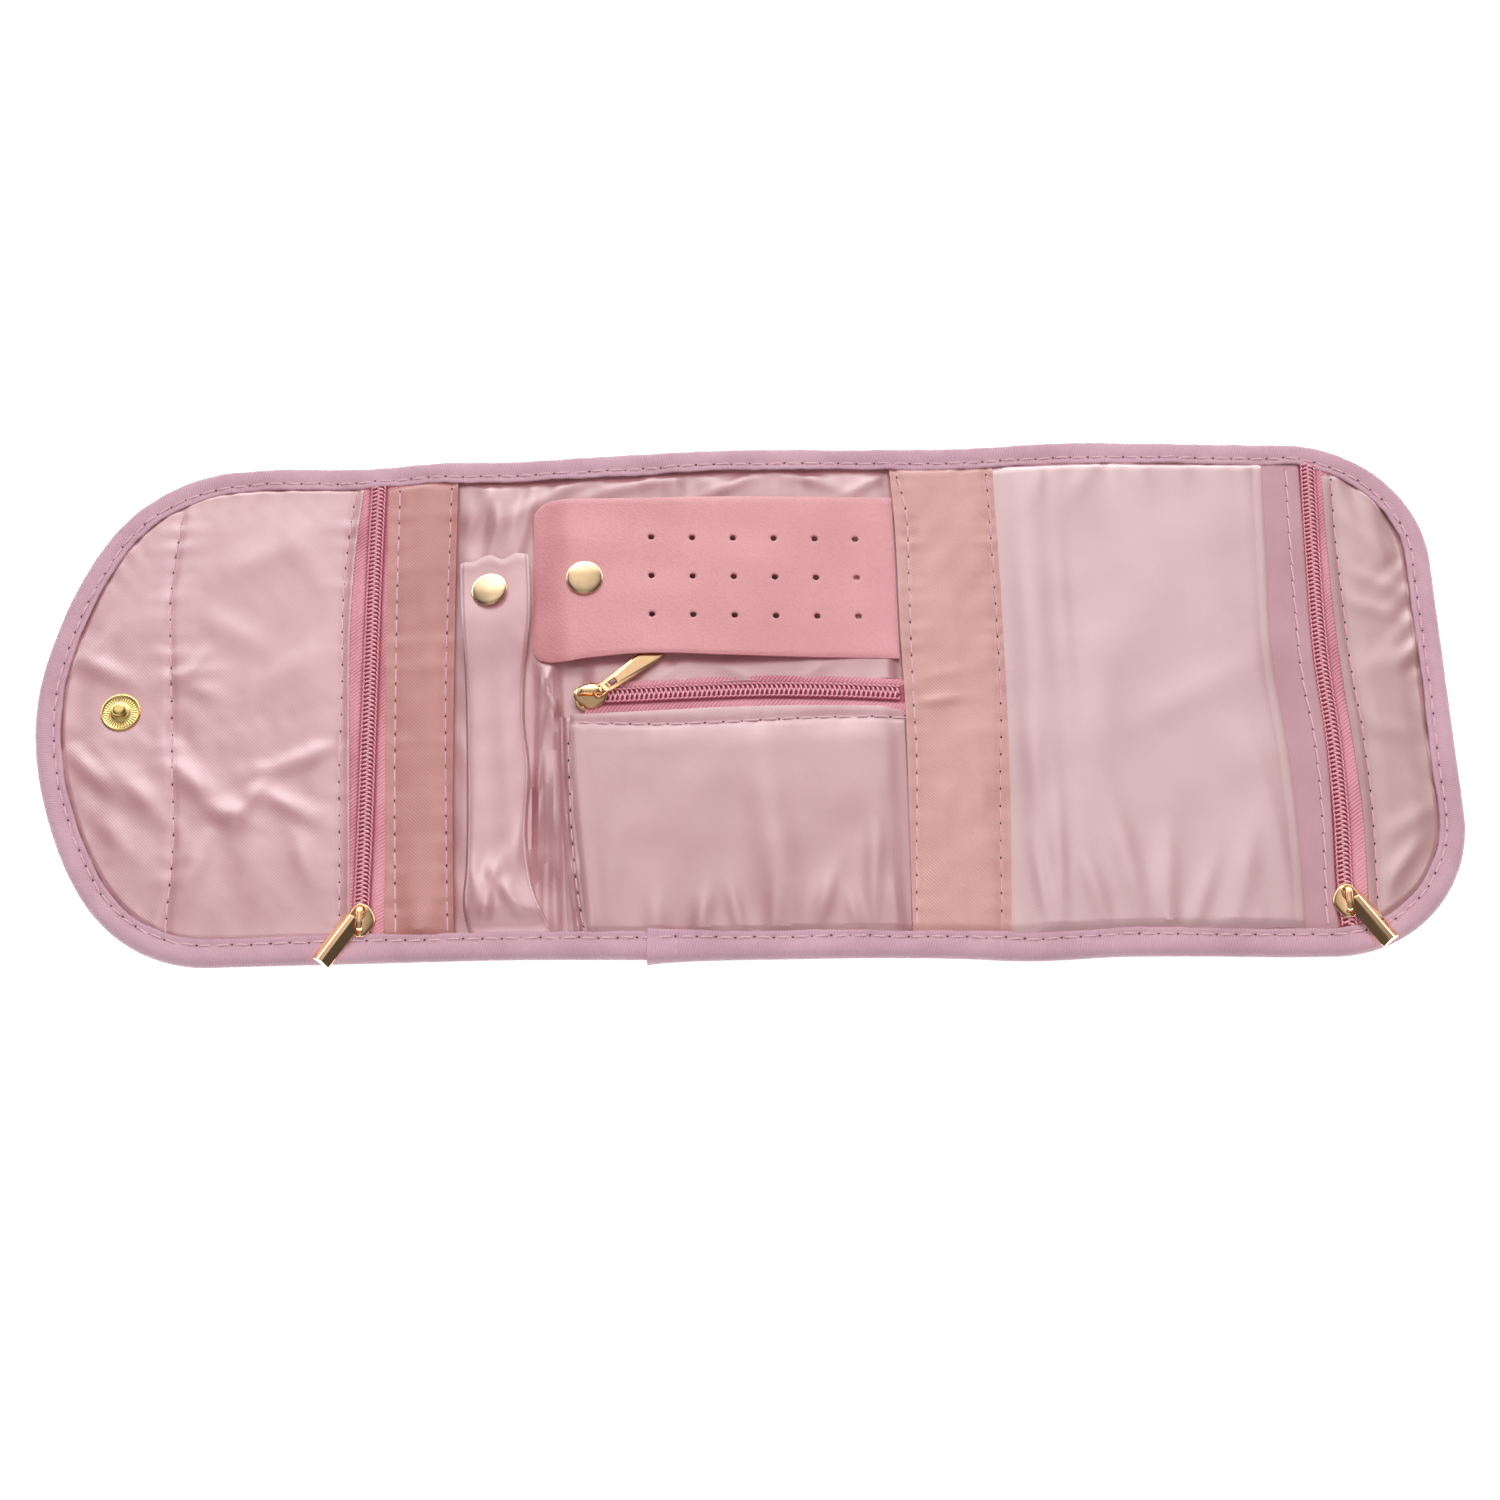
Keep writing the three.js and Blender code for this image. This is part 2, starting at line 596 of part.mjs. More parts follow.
// A flat tab pull: barrel, a neck that drops to the coil's level and a tab with a slot
function tabPull() {
  const tabTop = TAB_THICKNESS / 2 - TAB_DROP;
  const tabBottom = tabTop - TAB_THICKNESS;
  const side = polygon([
    [0, -NECK_BOTTOM],
    [TAB_START - NECK_BOTTOM, tabBottom],
    [TAB_START + 1, tabBottom],
    [TAB_START + 1, tabTop],
    [TAB_START, tabTop],
    [NECK_BOTTOM, NECK_TOP],
    [0, NECK_TOP],
  ]);
  const neck = prismAlongY(side, -BARREL_HALF_WIDTH, BARREL_HALF_WIDTH);
  const [near, far] = [TAB_NEAR_HALF_WIDTH, TAB_FAR_HALF_WIDTH];
  const [tip, corner] = [TAB_LENGTH, TAB_CORNER];
  const half = [
    [TAB_START, corner - near],
    [TAB_START + corner, -near],
    [tip - TAB_TIP, -far],
    [tip - corner, corner - far],
    [tip, TAB_TIP - far],
  ];
  const plan = polygon([...half, ...half.map(([x, y]) => [x, -y]).reverse()]);
  const slot = box(TAB_SLOT_START, TAB_SLOT_END, -TAB_SLOT_HALF_WIDTH, TAB_SLOT_HALF_WIDTH,
    tabBottom - 1, tabTop + 1);
  const bore = barrel(BARREL_BORE, 2 * BARREL_HALF_WIDTH);
  const body = barrel(BARREL_RADIUS, BARREL_HALF_WIDTH);
  return combine(body, [neck, prism(plan, tabBottom, tabTop)], [bore, slot]);
}

// A slider with its ring link and pull, turned so that it closes towards the group's own -X
function sliderSet(name, facing, pullTurn, pullGeometry, tilt) {
  const slider = new THREE.Group();
  slider.rotation.z = facing;
  slider.add(named(`${name}_slider`, sliderGeometry(), GOLD));
  const ring = new THREE.Group();
  ring.position.x = CROWN_LEG_FROM_MIDDLE;
  ring.rotation.z = THREE.MathUtils.degToRad(pullTurn) - facing;
  ring.add(named(`${name}_ring`, ringGeometry(), GOLD));
  const pull = new THREE.Group();
  pull.position.set(RING_REACH, 0, RING_MIDDLE);
  pull.rotation.y = THREE.MathUtils.degToRad(tilt);
  pull.add(named(`${name}_pull`, pullGeometry, GOLD));
  ring.add(pull);
  slider.add(ring);
  return slider;
}

// The stud half of a small snap, standing on the lining
function snapStud() {
  const top = LINING_TOP + SNAP_POST_HEIGHT;
  const flangeTop = LINING_TOP + SNAP_FLANGE_THICKNESS;
  return turned([
    [0, LINING_TOP],
    [SNAP_FLANGE_RADIUS - METAL_EDGE, LINING_TOP],
    [SNAP_FLANGE_RADIUS, flangeTop - METAL_EDGE],
    [SNAP_FLANGE_RADIUS - METAL_EDGE, flangeTop],
    [SNAP_POST_RADIUS - HEAD_SWELL, flangeTop],
    [SNAP_POST_RADIUS - HEAD_SWELL, top - HEAD_LENGTH],
    [SNAP_POST_RADIUS, top - HEAD_LENGTH + HEAD_SWELL],
    [SNAP_POST_RADIUS - METAL_EDGE, top],
    [0, top],
  ]);
}

// The socket half of a small snap, hanging under the strap or flap
function snapSocket() {
  const bottom = SNAP_LEVEL - SNAP_SOCKET_HEIGHT;
  return turned([
    [SNAP_BORE, bottom],
    [SNAP_SOCKET_RADIUS - ROLLED_EDGE, bottom],
    [SNAP_SOCKET_RADIUS, bottom + ROLLED_EDGE],
    [SNAP_SOCKET_RADIUS, SNAP_LEVEL - METAL_EDGE],
    [SNAP_SOCKET_RADIUS - METAL_EDGE, SNAP_LEVEL],
    [SNAP_SHANK_HOLE, SNAP_LEVEL],
    [SNAP_SHANK_HOLE, SNAP_LEVEL - SNAP_WEB],
    [SNAP_BORE, SNAP_LEVEL - SNAP_WEB],
  ]);
}

// The cap of a small snap, with its rolled edge and its shank through what it holds
function snapCap(seat) {
  const top = seat + SNAP_CAP_THICKNESS;
  return turned([
    [0, SNAP_LEVEL - SNAP_WEB],
    [SNAP_SHANK_RADIUS, SNAP_LEVEL - SNAP_WEB],
    [SNAP_SHANK_RADIUS, seat],
    [SNAP_CAP_RADIUS - ROLLED_EDGE, seat],
    [SNAP_CAP_RADIUS, seat + ROLLED_EDGE],
    [SNAP_CAP_RADIUS - SNAP_CAP_DISH, top - ROLLED_EDGE],
    [SNAP_CAP_RADIUS - SNAP_CAP_ROLL, top],
    [SNAP_CAP_RADIUS - SNAP_CAP_RIM, top - SNAP_CAP_DISH],
    [0, top - SNAP_CAP_DISH],
  ]);
}

function at(mesh, x, y) {
  mesh.position.set(x, y, 0);
  return mesh;
}

// The flap: layers, facing, binding and the stud of the closure snap
const CLOSURE_X = LEFT_END + CLOSURE_FROM_END;

function closureStud() {
  const flangeTop = FACING_TOP + STUD_FLANGE_THICKNESS;
  const top = FACING_TOP + STUD_HEIGHT;
  return turned([
    [0, FACING_TOP],
    [STUD_FLANGE_RADIUS - METAL_EDGE, FACING_TOP],
    [STUD_FLANGE_RADIUS, FACING_TOP + METAL_EDGE],
    [STUD_FLANGE_RADIUS - ROLLED_EDGE, flangeTop],
    [STUD_DISH_RADIUS, flangeTop - STUD_DISH_DEPTH],
    [STUD_COLLAR_RADIUS, flangeTop + STUD_COLLAR_RISE],
    [STUD_NECK_RADIUS, flangeTop + STUD_NECK_RISE],
    [STUD_NECK_RADIUS, top - HEAD_LENGTH],
    [STUD_HEAD_RADIUS, top - HEAD_LENGTH + HEAD_SWELL],
    [STUD_HEAD_RADIUS - METAL_EDGE, top],
    [0, top],
  ]);
}

function closureCap() {
  return turned([
    [0, 0],
    [CLOSURE_CAP_RADIUS - ROLLED_EDGE, 0],
    [CLOSURE_CAP_RADIUS, ROLLED_EDGE],
    [CLOSURE_CAP_RADIUS, CLOSURE_CAP_THICKNESS],
    [CLOSURE_SHANK_RADIUS, CLOSURE_CAP_THICKNESS],
    [CLOSURE_SHANK_RADIUS, FACING_TOP],
    [0, FACING_TOP],
  ]);
}

function flap() {
  const group = new THREE.Group();
  const end = FLAP_FOLD - FOLD_GAP;
  const spot = [CLOSURE_X, CLOSURE_Y];
  const rivet = [...spot, CLOSURE_SHANK_RADIUS + FIT];
  const seat = [...spot, CLOSURE_CAP_RADIUS + FIT];
  const [cover, padding, lining] = sectionLayers('flap', LEFT_END, end, [seat], [rivet], [rivet]);
  const counterbore = prism(circle(...seat, LATHE_STEPS), 0, CLOSURE_CAP_THICKNESS + FIT);
  padding.geometry = combine(padding.geometry, [], [counterbore]);
  const facing = layer(CLOTH_INSET, LEFT_END, end, FACING_Z, FACING_TOP, [rivet]);
  group.add(cover, padding, lining, named('flap_facing', facing, SATIN));
  group.add(bindingPiece('flap_binding', LEFT_END - 1, end, 0));
  group.add(at(named('flap_snap_stud', closureStud(), GOLD), ...spot));
  group.add(at(named('flap_snap_cap', closureCap(), GOLD), ...spot));
  return group;
}

// The left spine: layers, both edges of binding, the zip and the cloth on each side of it
function leftSpine() {
  const group = new THREE.Group();
  const x0 = FLAP_FOLD + FOLD_GAP;
  const x1 = LEFT_FOLD - FOLD_GAP;
  const zipX = LEFT_FOLD - FLAP_ZIP_FROM_FOLD;
  group.add(...sectionLayers('left_spine', x0, x1, [], [], []));
  const strip = layer(CLOTH_INSET, x0, zipX - ZIP_TO_FACING, FACING_Z, FACING_TOP);
  const band = layer(CLOTH_INSET, zipX + ZIP_TO_BAND, x1, FACING_Z, FACING_TOP);
  group.add(named('flap_zip_facing', strip, SATIN));
  group.add(named('left_fold_band', band, BAND_CLOTH));
  group.add(bindingPiece('left_spine_binding_back', x0, x1, 1));
  group.add(bindingPiece('left_spine_binding_front', x0, x1, -1));
  const tapes = zip('flap_zip', ['left', 'right'], 2 * COIL_END_Y);
  tapes.position.x = zipX;
  tapes.rotation.z = Math.PI / 2;
  const slider = sliderSet('flap_zip', Math.PI / 2, FLAP_PULL_TURN, barPull(), PULL_TILT);
  slider.position.set(zipX, SLIDER_FROM_COIL_END - COIL_END_Y, 0);
  group.add(tapes, slider);
  return group;
}

// The small pocket on the middle panel, with its zip along the top
function smallPocket() {
  const group = new THREE.Group();
  const right = RIGHT_FOLD - FOLD_GAP;
  const left = right - POCKET_FACE_LENGTH;
  const front = -COIL_END_Y;
  const back = POCKET_ZIP_Y - ZIP_TO_POCKET_FACE;
  const stripRight = left - FIT;
  const face = box(left, right, front, back, FACING_Z, FACING_TOP);
  const strip = box(stripRight - SIDE_STRIP_WIDTH, stripRight, front, back, LINING_TOP, FACING_TOP);
  group.add(named('small_pocket_face', face, SATIN));
  group.add(named('small_pocket_side', strip, SATIN));
  const tapes = zip('pocket_zip', ['back', 'front'], POCKET_FACE_LENGTH);
  tapes.position.set((left + right) / 2, POCKET_ZIP_Y, 0);
  const slider = sliderSet('pocket_zip', 0, POCKET_PULL_TURN, tabPull(), 0);
  slider.position.set(left + POCKET_SLIDER_FROM_COIL_END, POCKET_ZIP_Y, 0);
  group.add(tapes, slider);
  return group;
}

// The ring strap: a flat satin tube sewn in at the front and snapped down at the back
const STRAP_SEAM_Y = STRAP_SEAM_FROM_BINDING + BINDING_WIDTH - BODY_DEPTH / 2;
const STRAP_SNAP = [LEFT_FOLD + STRAP_SNAP_FROM_FOLD, STRAP_SEAM_Y + STRAP_SNAP_FROM_SEAM];

function ringStrap() {
  const group = new THREE.Group();
  const low = LINING_TOP + STRAP_CLEARANCE;
  const high = low + STRAP_THICKNESS;
  const snapTop = SNAP_LEVEL + LEATHER_THICKNESS;
  const flat = STRAP_SNAP_FROM_SEAM - SNAP_CAP_RADIUS - HOLD_MARGIN;
  const seamTop = low + STRAP_SEAM_THICKNESS;
  const stations = [
    [0, low, seamTop],
    [STRAP_SWELL / 6, low, THREE.MathUtils.lerp(seamTop, high, 0.4)],
    [STRAP_SWELL / 2, low, THREE.MathUtils.lerp(seamTop, high, 0.8)],
    [STRAP_SWELL, low, high],
    [flat - STRAP_RISE, low, high],
    [flat - STRAP_RISE / 2, (low + SNAP_LEVEL) / 2, (high + snapTop) / 2],
    [flat, SNAP_LEVEL, snapTop],
    [STRAP_LENGTH, SNAP_LEVEL, snapTop],
  ];
  const section = [
    [-1, 0.5],
    [-0.94, 0.15],
    [-0.74, 0],
    [0.74, 0],
    [0.94, 0.15],
    [1, 0.5],
    [0.94, 0.85],
    [0.74, 1],
    [0, 1],
    [-0.74, 1],
    [-0.94, 0.85],
  ];
  const rings = stations.map(([distance, bottom, top]) => {
    const share = distance / STRAP_LENGTH;
    const half = THREE.MathUtils.lerp(STRAP_SEAM_HALF_WIDTH, STRAP_END_HALF_WIDTH, share);
    const middle = LEFT_FOLD + THREE.MathUtils.lerp(STRAP_SEAM_FROM_FOLD, STRAP_END_FROM_FOLD, share);
    return section.map(([across, up]) => [
      middle + across * half,
      STRAP_SEAM_Y + distance,
      THREE.MathUtils.lerp(bottom, top, up),
    ]).reverse();
  });
  const hole = prism(circle(...STRAP_SNAP, SNAP_SHANK_HOLE, HOLE_STEPS), SNAP_LEVEL - 2, snapTop + 1);
  group.add(named('ring_strap', combine(loft(rings), [], [hole]), SATIN));
  group.add(at(named('ring_strap_snap_cap', snapCap(snapTop), GOLD), ...STRAP_SNAP));
  group.add(at(named('ring_strap_snap_socket', snapSocket(), GOLD), ...STRAP_SNAP));
  return group;
}

// The earring flap: a leather-look plate with rows of holes, sewn in at its right end
const EARRING_END = RIGHT_FOLD - FOLD_GAP;
const EARRING_FREE_EDGE = EARRING_END - EARRING_LENGTH;
const EARRING_SNAP = [EARRING_FREE_EDGE + EARRING_SNAP_FROM_FREE_EDGE, EARRING_SNAP_Y];

function earringFlap() {
  const group = new THREE.Group();
  const seamZ = LINING_TOP + FIT;
  const drop = SNAP_LEVEL - seamZ;
  const bend = [];
  for (let i = 0; i <= EARRING_BEND_STEPS; i += 1) {
    const share = i / EARRING_BEND_STEPS;
    const x = EARRING_END - EARRING_BEND * (1 - share);
    bend.push([x, SNAP_LEVEL - drop * THREE.MathUtils.smoothstep(share, 0, 1)]);
  }
  const upper = bend.map(([x, z]) => [x, z + LEATHER_THICKNESS]).reverse();
  const side = [
    [EARRING_FREE_EDGE, SNAP_LEVEL],
    ...bend,
    ...upper,
    [EARRING_FREE_EDGE, SNAP_LEVEL + LEATHER_THICKNESS],
  ];
  const back = EARRING_FRONT_Y + EARRING_DEPTH;
  const bent = prismAlongY(polygon(side), EARRING_FRONT_Y, back);
  const plan = roundedRectangle(EARRING_FREE_EDGE, EARRING_END + 1, EARRING_FRONT_Y, back, EARRING_CORNER, 0);
  const top = SNAP_LEVEL + 2 * LEATHER_THICKNESS;
  let solid = toSolid(bent).intersect(toSolid(prism(plan, 0, top)));
  const drill = (x, y, radius) => {
    const hole = prism(circle(x, y, radius, HOLE_STEPS), 0, top);
    solid = solid.subtract(toSolid(hole));
  };
  for (let column = 0; column < HOLE_COLUMNS; column += 1) {
    for (let row = 0; row < HOLE_ROWS; row += 1) {
      const x = EARRING_FREE_EDGE + FIRST_HOLE_FROM_FREE_EDGE + column * HOLE_PITCH_X;
      drill(x, FIRST_ROW_Y - row * HOLE_PITCH_Y - column * HOLE_ROW_DROP, HOLE_RADIUS);
    }
  }
  drill(...EARRING_SNAP, SNAP_SHANK_HOLE);
  group.add(named('earring_flap', toGeometry(solid), LEATHER));
  const seat = SNAP_LEVEL + LEATHER_THICKNESS;
  group.add(at(named('earring_flap_snap_cap', snapCap(seat), GOLD), ...EARRING_SNAP));
  group.add(at(named('earring_flap_snap_socket', snapSocket(), GOLD), ...EARRING_SNAP));
  return group;
}

// The middle panel: layers, both edges of binding, the two studs and what they hold down
function center() {
  const group = new THREE.Group();
  const x0 = LEFT_FOLD + FOLD_GAP;
  const x1 = RIGHT_FOLD - FOLD_GAP;
  group.add(...sectionLayers('center', x0, x1, [], [], []));
  group.add(bindingPiece('center_binding_back', x0, x1, 1));
  group.add(bindingPiece('center_binding_front', x0, x1, -1));
  group.add(at(named('ring_strap_snap_stud', snapStud(), GOLD), ...STRAP_SNAP));
  group.add(at(named('earring_flap_snap_stud', snapStud(), GOLD), ...EARRING_SNAP));
  group.add(smallPocket(), ringStrap(), earringFlap());
  return group;
}

// The right spine: layers, the plain fold band and both edges of binding
function rightSpine() {
  const group = new THREE.Group();
  const x0 = RIGHT_FOLD + FOLD_GAP;
  const x1 = PANEL_FOLD - FOLD_GAP;
  const band = layer(CLOTH_INSET, x0, x1, FACING_Z, FACING_TOP);
  group.add(...sectionLayers('right_spine', x0, x1, [], [], []));
  group.add(named('right_fold_band', band, BAND_CLOTH));
  group.add(bindingPiece('right_spine_binding_back', x0, x1, 1));
  group.add(bindingPiece('right_spine_binding_front', x0, x1, -1));
  return group;
}

// The socket of the closure snap, open downwards in the panel's outside
function closureSocket() {
  return turned([
    [CLOSURE_BORE, 0],
    [CLOSURE_SOCKET_RADIUS - ROLLED_EDGE, 0],
    [CLOSURE_SOCKET_RADIUS, ROLLED_EDGE],
    [CLOSURE_SOCKET_RADIUS, LINING_Z],
    [CLOSURE_WEB_RADIUS, LINING_Z],
    [CLOSURE_WEB_RADIUS, LINING_TOP],
    [0, LINING_TOP],
    [0, LINING_Z],
    [CLOSURE_BORE, LINING_Z],
  ]);
}

function closureBacking() {
  const top = LINING_TOP + BACKING_THICKNESS;
  return turned([
    [0, LINING_TOP],
    [BACKING_RADIUS, LINING_TOP],
    [BACKING_RADIUS, LINING_TOP + METAL_EDGE],
    [BACKING_RADIUS - BACKING_BEVEL, top],
    [0, top],
  ]);
}

// The right panel: layers, slip pocket, trim, zip, end facing and the socket of the closure snap
function rightPanel() {
  const group = new THREE.Group();
  const x0 = PANEL_FOLD + FOLD_GAP;
  const zipX = PANEL_FOLD + PANEL_ZIP_FROM_FOLD;
  const spot = [RIGHT_FOLD + PANEL_FOLD - LEFT_FOLD - (FLAP_FOLD - CLOSURE_X), CLOSURE_Y];
  const bore = [...spot, CLOSURE_SOCKET_RADIUS + FIT];
  const web = [...spot, CLOSURE_WEB_RADIUS + FIT];
  group.add(...sectionLayers('right_panel', x0, RIGHT_END, [bore], [bore], [web]));
  const trimRight = zipX - ZIP_TO_TRIM;
  const trimTop = FACING_Z + TRIM_THICKNESS;
  const mouth = PANEL_FOLD + SLIP_MOUTH_FROM_FOLD;
  const face = layer(CLOTH_INSET, x0, mouth, trimTop, EDGE_TOP);
  const trim = layer(CLOTH_INSET, trimRight - TRIM_WIDTH, trimRight, FACING_Z, trimTop);
  const end = layer(CLOTH_INSET, zipX + ZIP_TO_END_FACING, RIGHT_END, FACING_Z, FACING_TOP);
  group.add(named('slip_pocket_face', face, SATIN));
  group.add(named('slip_pocket_trim', trim, TWILL));
  group.add(named('panel_end_facing', end, SATIN));
  group.add(bindingPiece('right_panel_binding', x0, RIGHT_END + 1, 0));
  const tapes = zip('panel_zip', ['left', 'right'], 2 * COIL_END_Y);
  tapes.position.x = zipX;
  tapes.rotation.z = Math.PI / 2;
  tapes.children.forEach(cutToOutline);
  const slider = sliderSet('panel_zip', Math.PI / 2, PANEL_PULL_TURN, barPull(), PULL_TILT);
  slider.position.set(zipX, PANEL_SLIDER_FROM_COIL_END - COIL_END_Y, 0);
  group.add(tapes, slider);
  group.add(at(named('right_panel_snap_socket', closureSocket(), GOLD), ...spot));
  group.add(at(named('right_panel_snap_backing', closureBacking(), GOLD), ...spot));
  return group;
}

const pouch = new THREE.Group();
pouch.add(flap(), leftSpine(), center(), rightSpine(), rightPanel());

export default pouch;
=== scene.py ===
import bmesh
import bpy
import numpy as np
from mathutils import Matrix, Vector


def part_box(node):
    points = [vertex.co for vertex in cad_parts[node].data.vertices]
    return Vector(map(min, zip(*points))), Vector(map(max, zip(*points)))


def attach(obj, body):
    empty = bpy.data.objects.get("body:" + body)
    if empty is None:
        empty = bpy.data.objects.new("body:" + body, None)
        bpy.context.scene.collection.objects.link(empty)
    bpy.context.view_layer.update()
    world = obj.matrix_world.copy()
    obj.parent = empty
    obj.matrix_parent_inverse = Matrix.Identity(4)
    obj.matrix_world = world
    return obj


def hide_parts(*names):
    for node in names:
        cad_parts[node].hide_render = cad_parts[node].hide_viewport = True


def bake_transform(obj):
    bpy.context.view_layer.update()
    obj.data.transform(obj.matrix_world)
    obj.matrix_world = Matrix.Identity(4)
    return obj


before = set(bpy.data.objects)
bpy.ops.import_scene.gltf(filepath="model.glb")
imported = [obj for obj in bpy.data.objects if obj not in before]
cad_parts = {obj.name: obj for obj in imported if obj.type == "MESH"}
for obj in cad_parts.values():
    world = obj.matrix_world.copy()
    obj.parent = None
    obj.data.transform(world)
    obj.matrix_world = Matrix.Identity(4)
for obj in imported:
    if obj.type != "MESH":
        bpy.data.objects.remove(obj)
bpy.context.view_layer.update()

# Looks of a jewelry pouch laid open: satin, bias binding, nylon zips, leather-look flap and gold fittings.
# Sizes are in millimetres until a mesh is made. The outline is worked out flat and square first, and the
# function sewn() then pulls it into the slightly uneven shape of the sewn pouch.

MM = 0.001


def limits(node):
    """A CAD node's lowest and highest corner in millimetres."""
    low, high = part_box(node)
    return np.array(low) / MM, np.array(high) / MM


def halfway(low, high, axis=0):
    """The place halfway between two neighbouring nodes, along x or y."""
    return (limits(low)[1][axis] + limits(high)[0][axis]) / 2


# Places from the frame
FLAP_FOLD = halfway("flap_cover", "left_spine_cover")
LEFT_FOLD = halfway("left_spine_cover", "center_cover")
RIGHT_FOLD = halfway("center_cover", "right_spine_cover")
PANEL_FOLD = halfway("right_spine_cover", "right_panel_cover")
FLAP_ZIP_LINE = halfway("flap_zip_tape_left", "flap_zip_tape_right")
PANEL_ZIP_LINE = halfway("panel_zip_tape_left", "panel_zip_tape_right")
POCKET_ZIP_LINE = halfway("pocket_zip_tape_front", "pocket_zip_tape_back", axis=1)
LEFT_END = limits("flap_binding")[0][0]
RIGHT_END = limits("right_panel_binding")[1][0]
HALF_DEPTH = limits("center_binding_back")[1][1]
POCKET_LEFT = limits("small_pocket_face")[0][0]
COVER_TOP = limits("center_cover")[1][2]
PADDING_TOP = limits("center_padding")[1][2]
LINING_TOP = limits("center_lining")[1][2]
FACING_TOP = limits("flap_facing")[1][2]

# Middles of the bodies, where one piece of cloth ends and the next begins
LEFT_SEAM = (FLAP_FOLD + LEFT_FOLD) / 2
CENTER_SEAM = (LEFT_FOLD + RIGHT_FOLD) / 2
RIGHT_SEAM = (RIGHT_FOLD + PANEL_FOLD) / 2

# The outline and its folds
FLAP_ROUND = 50
FLAP_CENTRE = LEFT_END + FLAP_ROUND
MEAN_ROUND_RADIUS = 63
CORNER = 38
CORNER_CENTRE = RIGHT_END - CORNER
SIDE_DRAWN_IN = 1.3

# The bound edge. A cloth goes under it from TUCK_START in, over a length of TUCK_REACH
BINDING_WIDTH = 7
BINDING_JOINT = -26.4
JOINT_GAP = 0.05
LIP_UNDERSIDE = 4.42
TUCK_START = 8.4
TUCK_REACH = 1.8
PANEL_INSET = 4.8

# Stitches and needle holes
STITCH_INSET = 5.2
STITCH_PITCH = 5.0
STITCH_LENGTH = 4.1
THREAD_RADIUS = 0.26
NEEDLE_HOLE_HALF = 0.36
NEEDLE_HOLE_RADIUS = 0.25

# Zips
TAPE_TOP = LINING_TOP + 1.3
COIL_PITCH = 1.3
COIL_WIRE_RADIUS = 0.31
CORD_RADIUS = 0.22

# Middles of the two snaps and the stud, for the dents round them
STRAP_SNAP = (-68.3, 33)
EARRING_SNAP = (-42.3, 36)
CLOSURE_STUD = (-167.3, 0)

# A cloth with a side shorter than this, in metres, is a hem and no sheet
LEAST_SHEET_SIDE = 0.012
# Millimetres to the unit of a cloth's UV map
UV_UNIT = 100

# How far the back and the front edge stand out from the square outline, at places along x
BACK_PULL = (
    (-190.5, -3.0), (-150, -2.5), (-128, -1.2), (-105, -1.8), (-83, -0.3), (-61, -0.5), (-38, 0.6),
    (-10, 1.6), (10, 1.6), (29, 1.0), (60, 0.5), (97, 1.5), (119, 0.6), (141, -0.3), (165, -1.0),
    (190.5, -1.2),
)
FRONT_PULL = (
    (-190.5, 3.2), (-142, 3.7), (-100, 3.8), (-59, 3.8), (-38, 3.3), (-16, 2.7), (7, 2.3), (29, 2.1),
    (52, 1.4), (74, 0.1), (97, 0.7), (119, 0.3), (141, -0.5), (165, -0.6), (190.5, -0.3),
)


def through(x, knots):
    """A smooth curve through (place, value) knots: cubic Hermite pieces with slopes from the neighbours."""
    at, value = np.array(knots, float).T
    slope = np.gradient(value, at)
    x = np.clip(x, at[0], at[-1])
    i = np.clip(np.searchsorted(at, x) - 1, 0, len(at) - 2)
    step = at[i + 1] - at[i]
    t = (x - at[i]) / step
    start = (2 * t**3 - 3 * t**2 + 1) * value[i] + (t**3 - 2 * t**2 + t) * step * slope[i]
    end = (3 * t**2 - 2 * t**3) * value[i + 1] + (t**3 - t**2) * step * slope[i + 1]
    return start + end


def ease(t):
    """A smooth step from 0 to 1 while t goes from 0 to 1: 3t^2 - 2t^3."""
    t = np.clip(t, 0, 1)
    return t * t * (3 - 2 * t)


def sewn(x, y):
    """The sewn place of a point of the square outline.
    y moves by the pull of its edge times (y / half depth)^2, and the round end is drawn in by up to
    SIDE_DRAWN_IN halfway up each side."""
    share = np.abs(y) / HALF_DEPTH
    pull = np.where(y > 0, through(x, BACK_PULL), through(x, FRONT_PULL))
    drawn = SIDE_DRAWN_IN * np.sin(np.pi * np.clip(share, 0, 1)) ** 2 * ease((FLAP_CENTRE - x) / 40)
    return x + drawn, y + pull * share**2


def inset(x, y):
    """Distance in from the square outline: a half ellipse at the left, straight sides, two round corners."""
    p, q = np.minimum(x - FLAP_CENTRE, 0) / FLAP_ROUND, y / HALF_DEPTH
    reach = np.maximum(np.hypot(p, q), 1e-6)
    slope = np.maximum(np.hypot(p / FLAP_ROUND, q / HALF_DEPTH) / reach, 1e-6)
    left = (1 - reach) / slope
    over, up = x - CORNER_CENTRE, np.abs(y) - (HALF_DEPTH - CORNER)
    straight = np.minimum(HALF_DEPTH - np.abs(y), RIGHT_END - x)
    right = np.where((over > 0) & (up > 0), CORNER - np.hypot(over, up), straight)
    return np.where(x < FLAP_CENTRE, left, right)


def edge_place(x, y):
    """How far along the bound edge a point is, from the middle of the round end, less than 0 in front."""
    p, q = np.minimum(x - FLAP_CENTRE, 0) / FLAP_ROUND, np.abs(y) / HALF_DEPTH
    turned = np.arctan2(q, np.maximum(-p, 1e-9)) * MEAN_ROUND_RADIUS
    over = np.maximum(x - CORNER_CENTRE, 0)
    down = np.maximum(HALF_DEPTH - CORNER - np.abs(y), 0) * ease(over / 20)
    return np.sign(y) * (turned + np.maximum(x - FLAP_CENTRE, 0) + down)


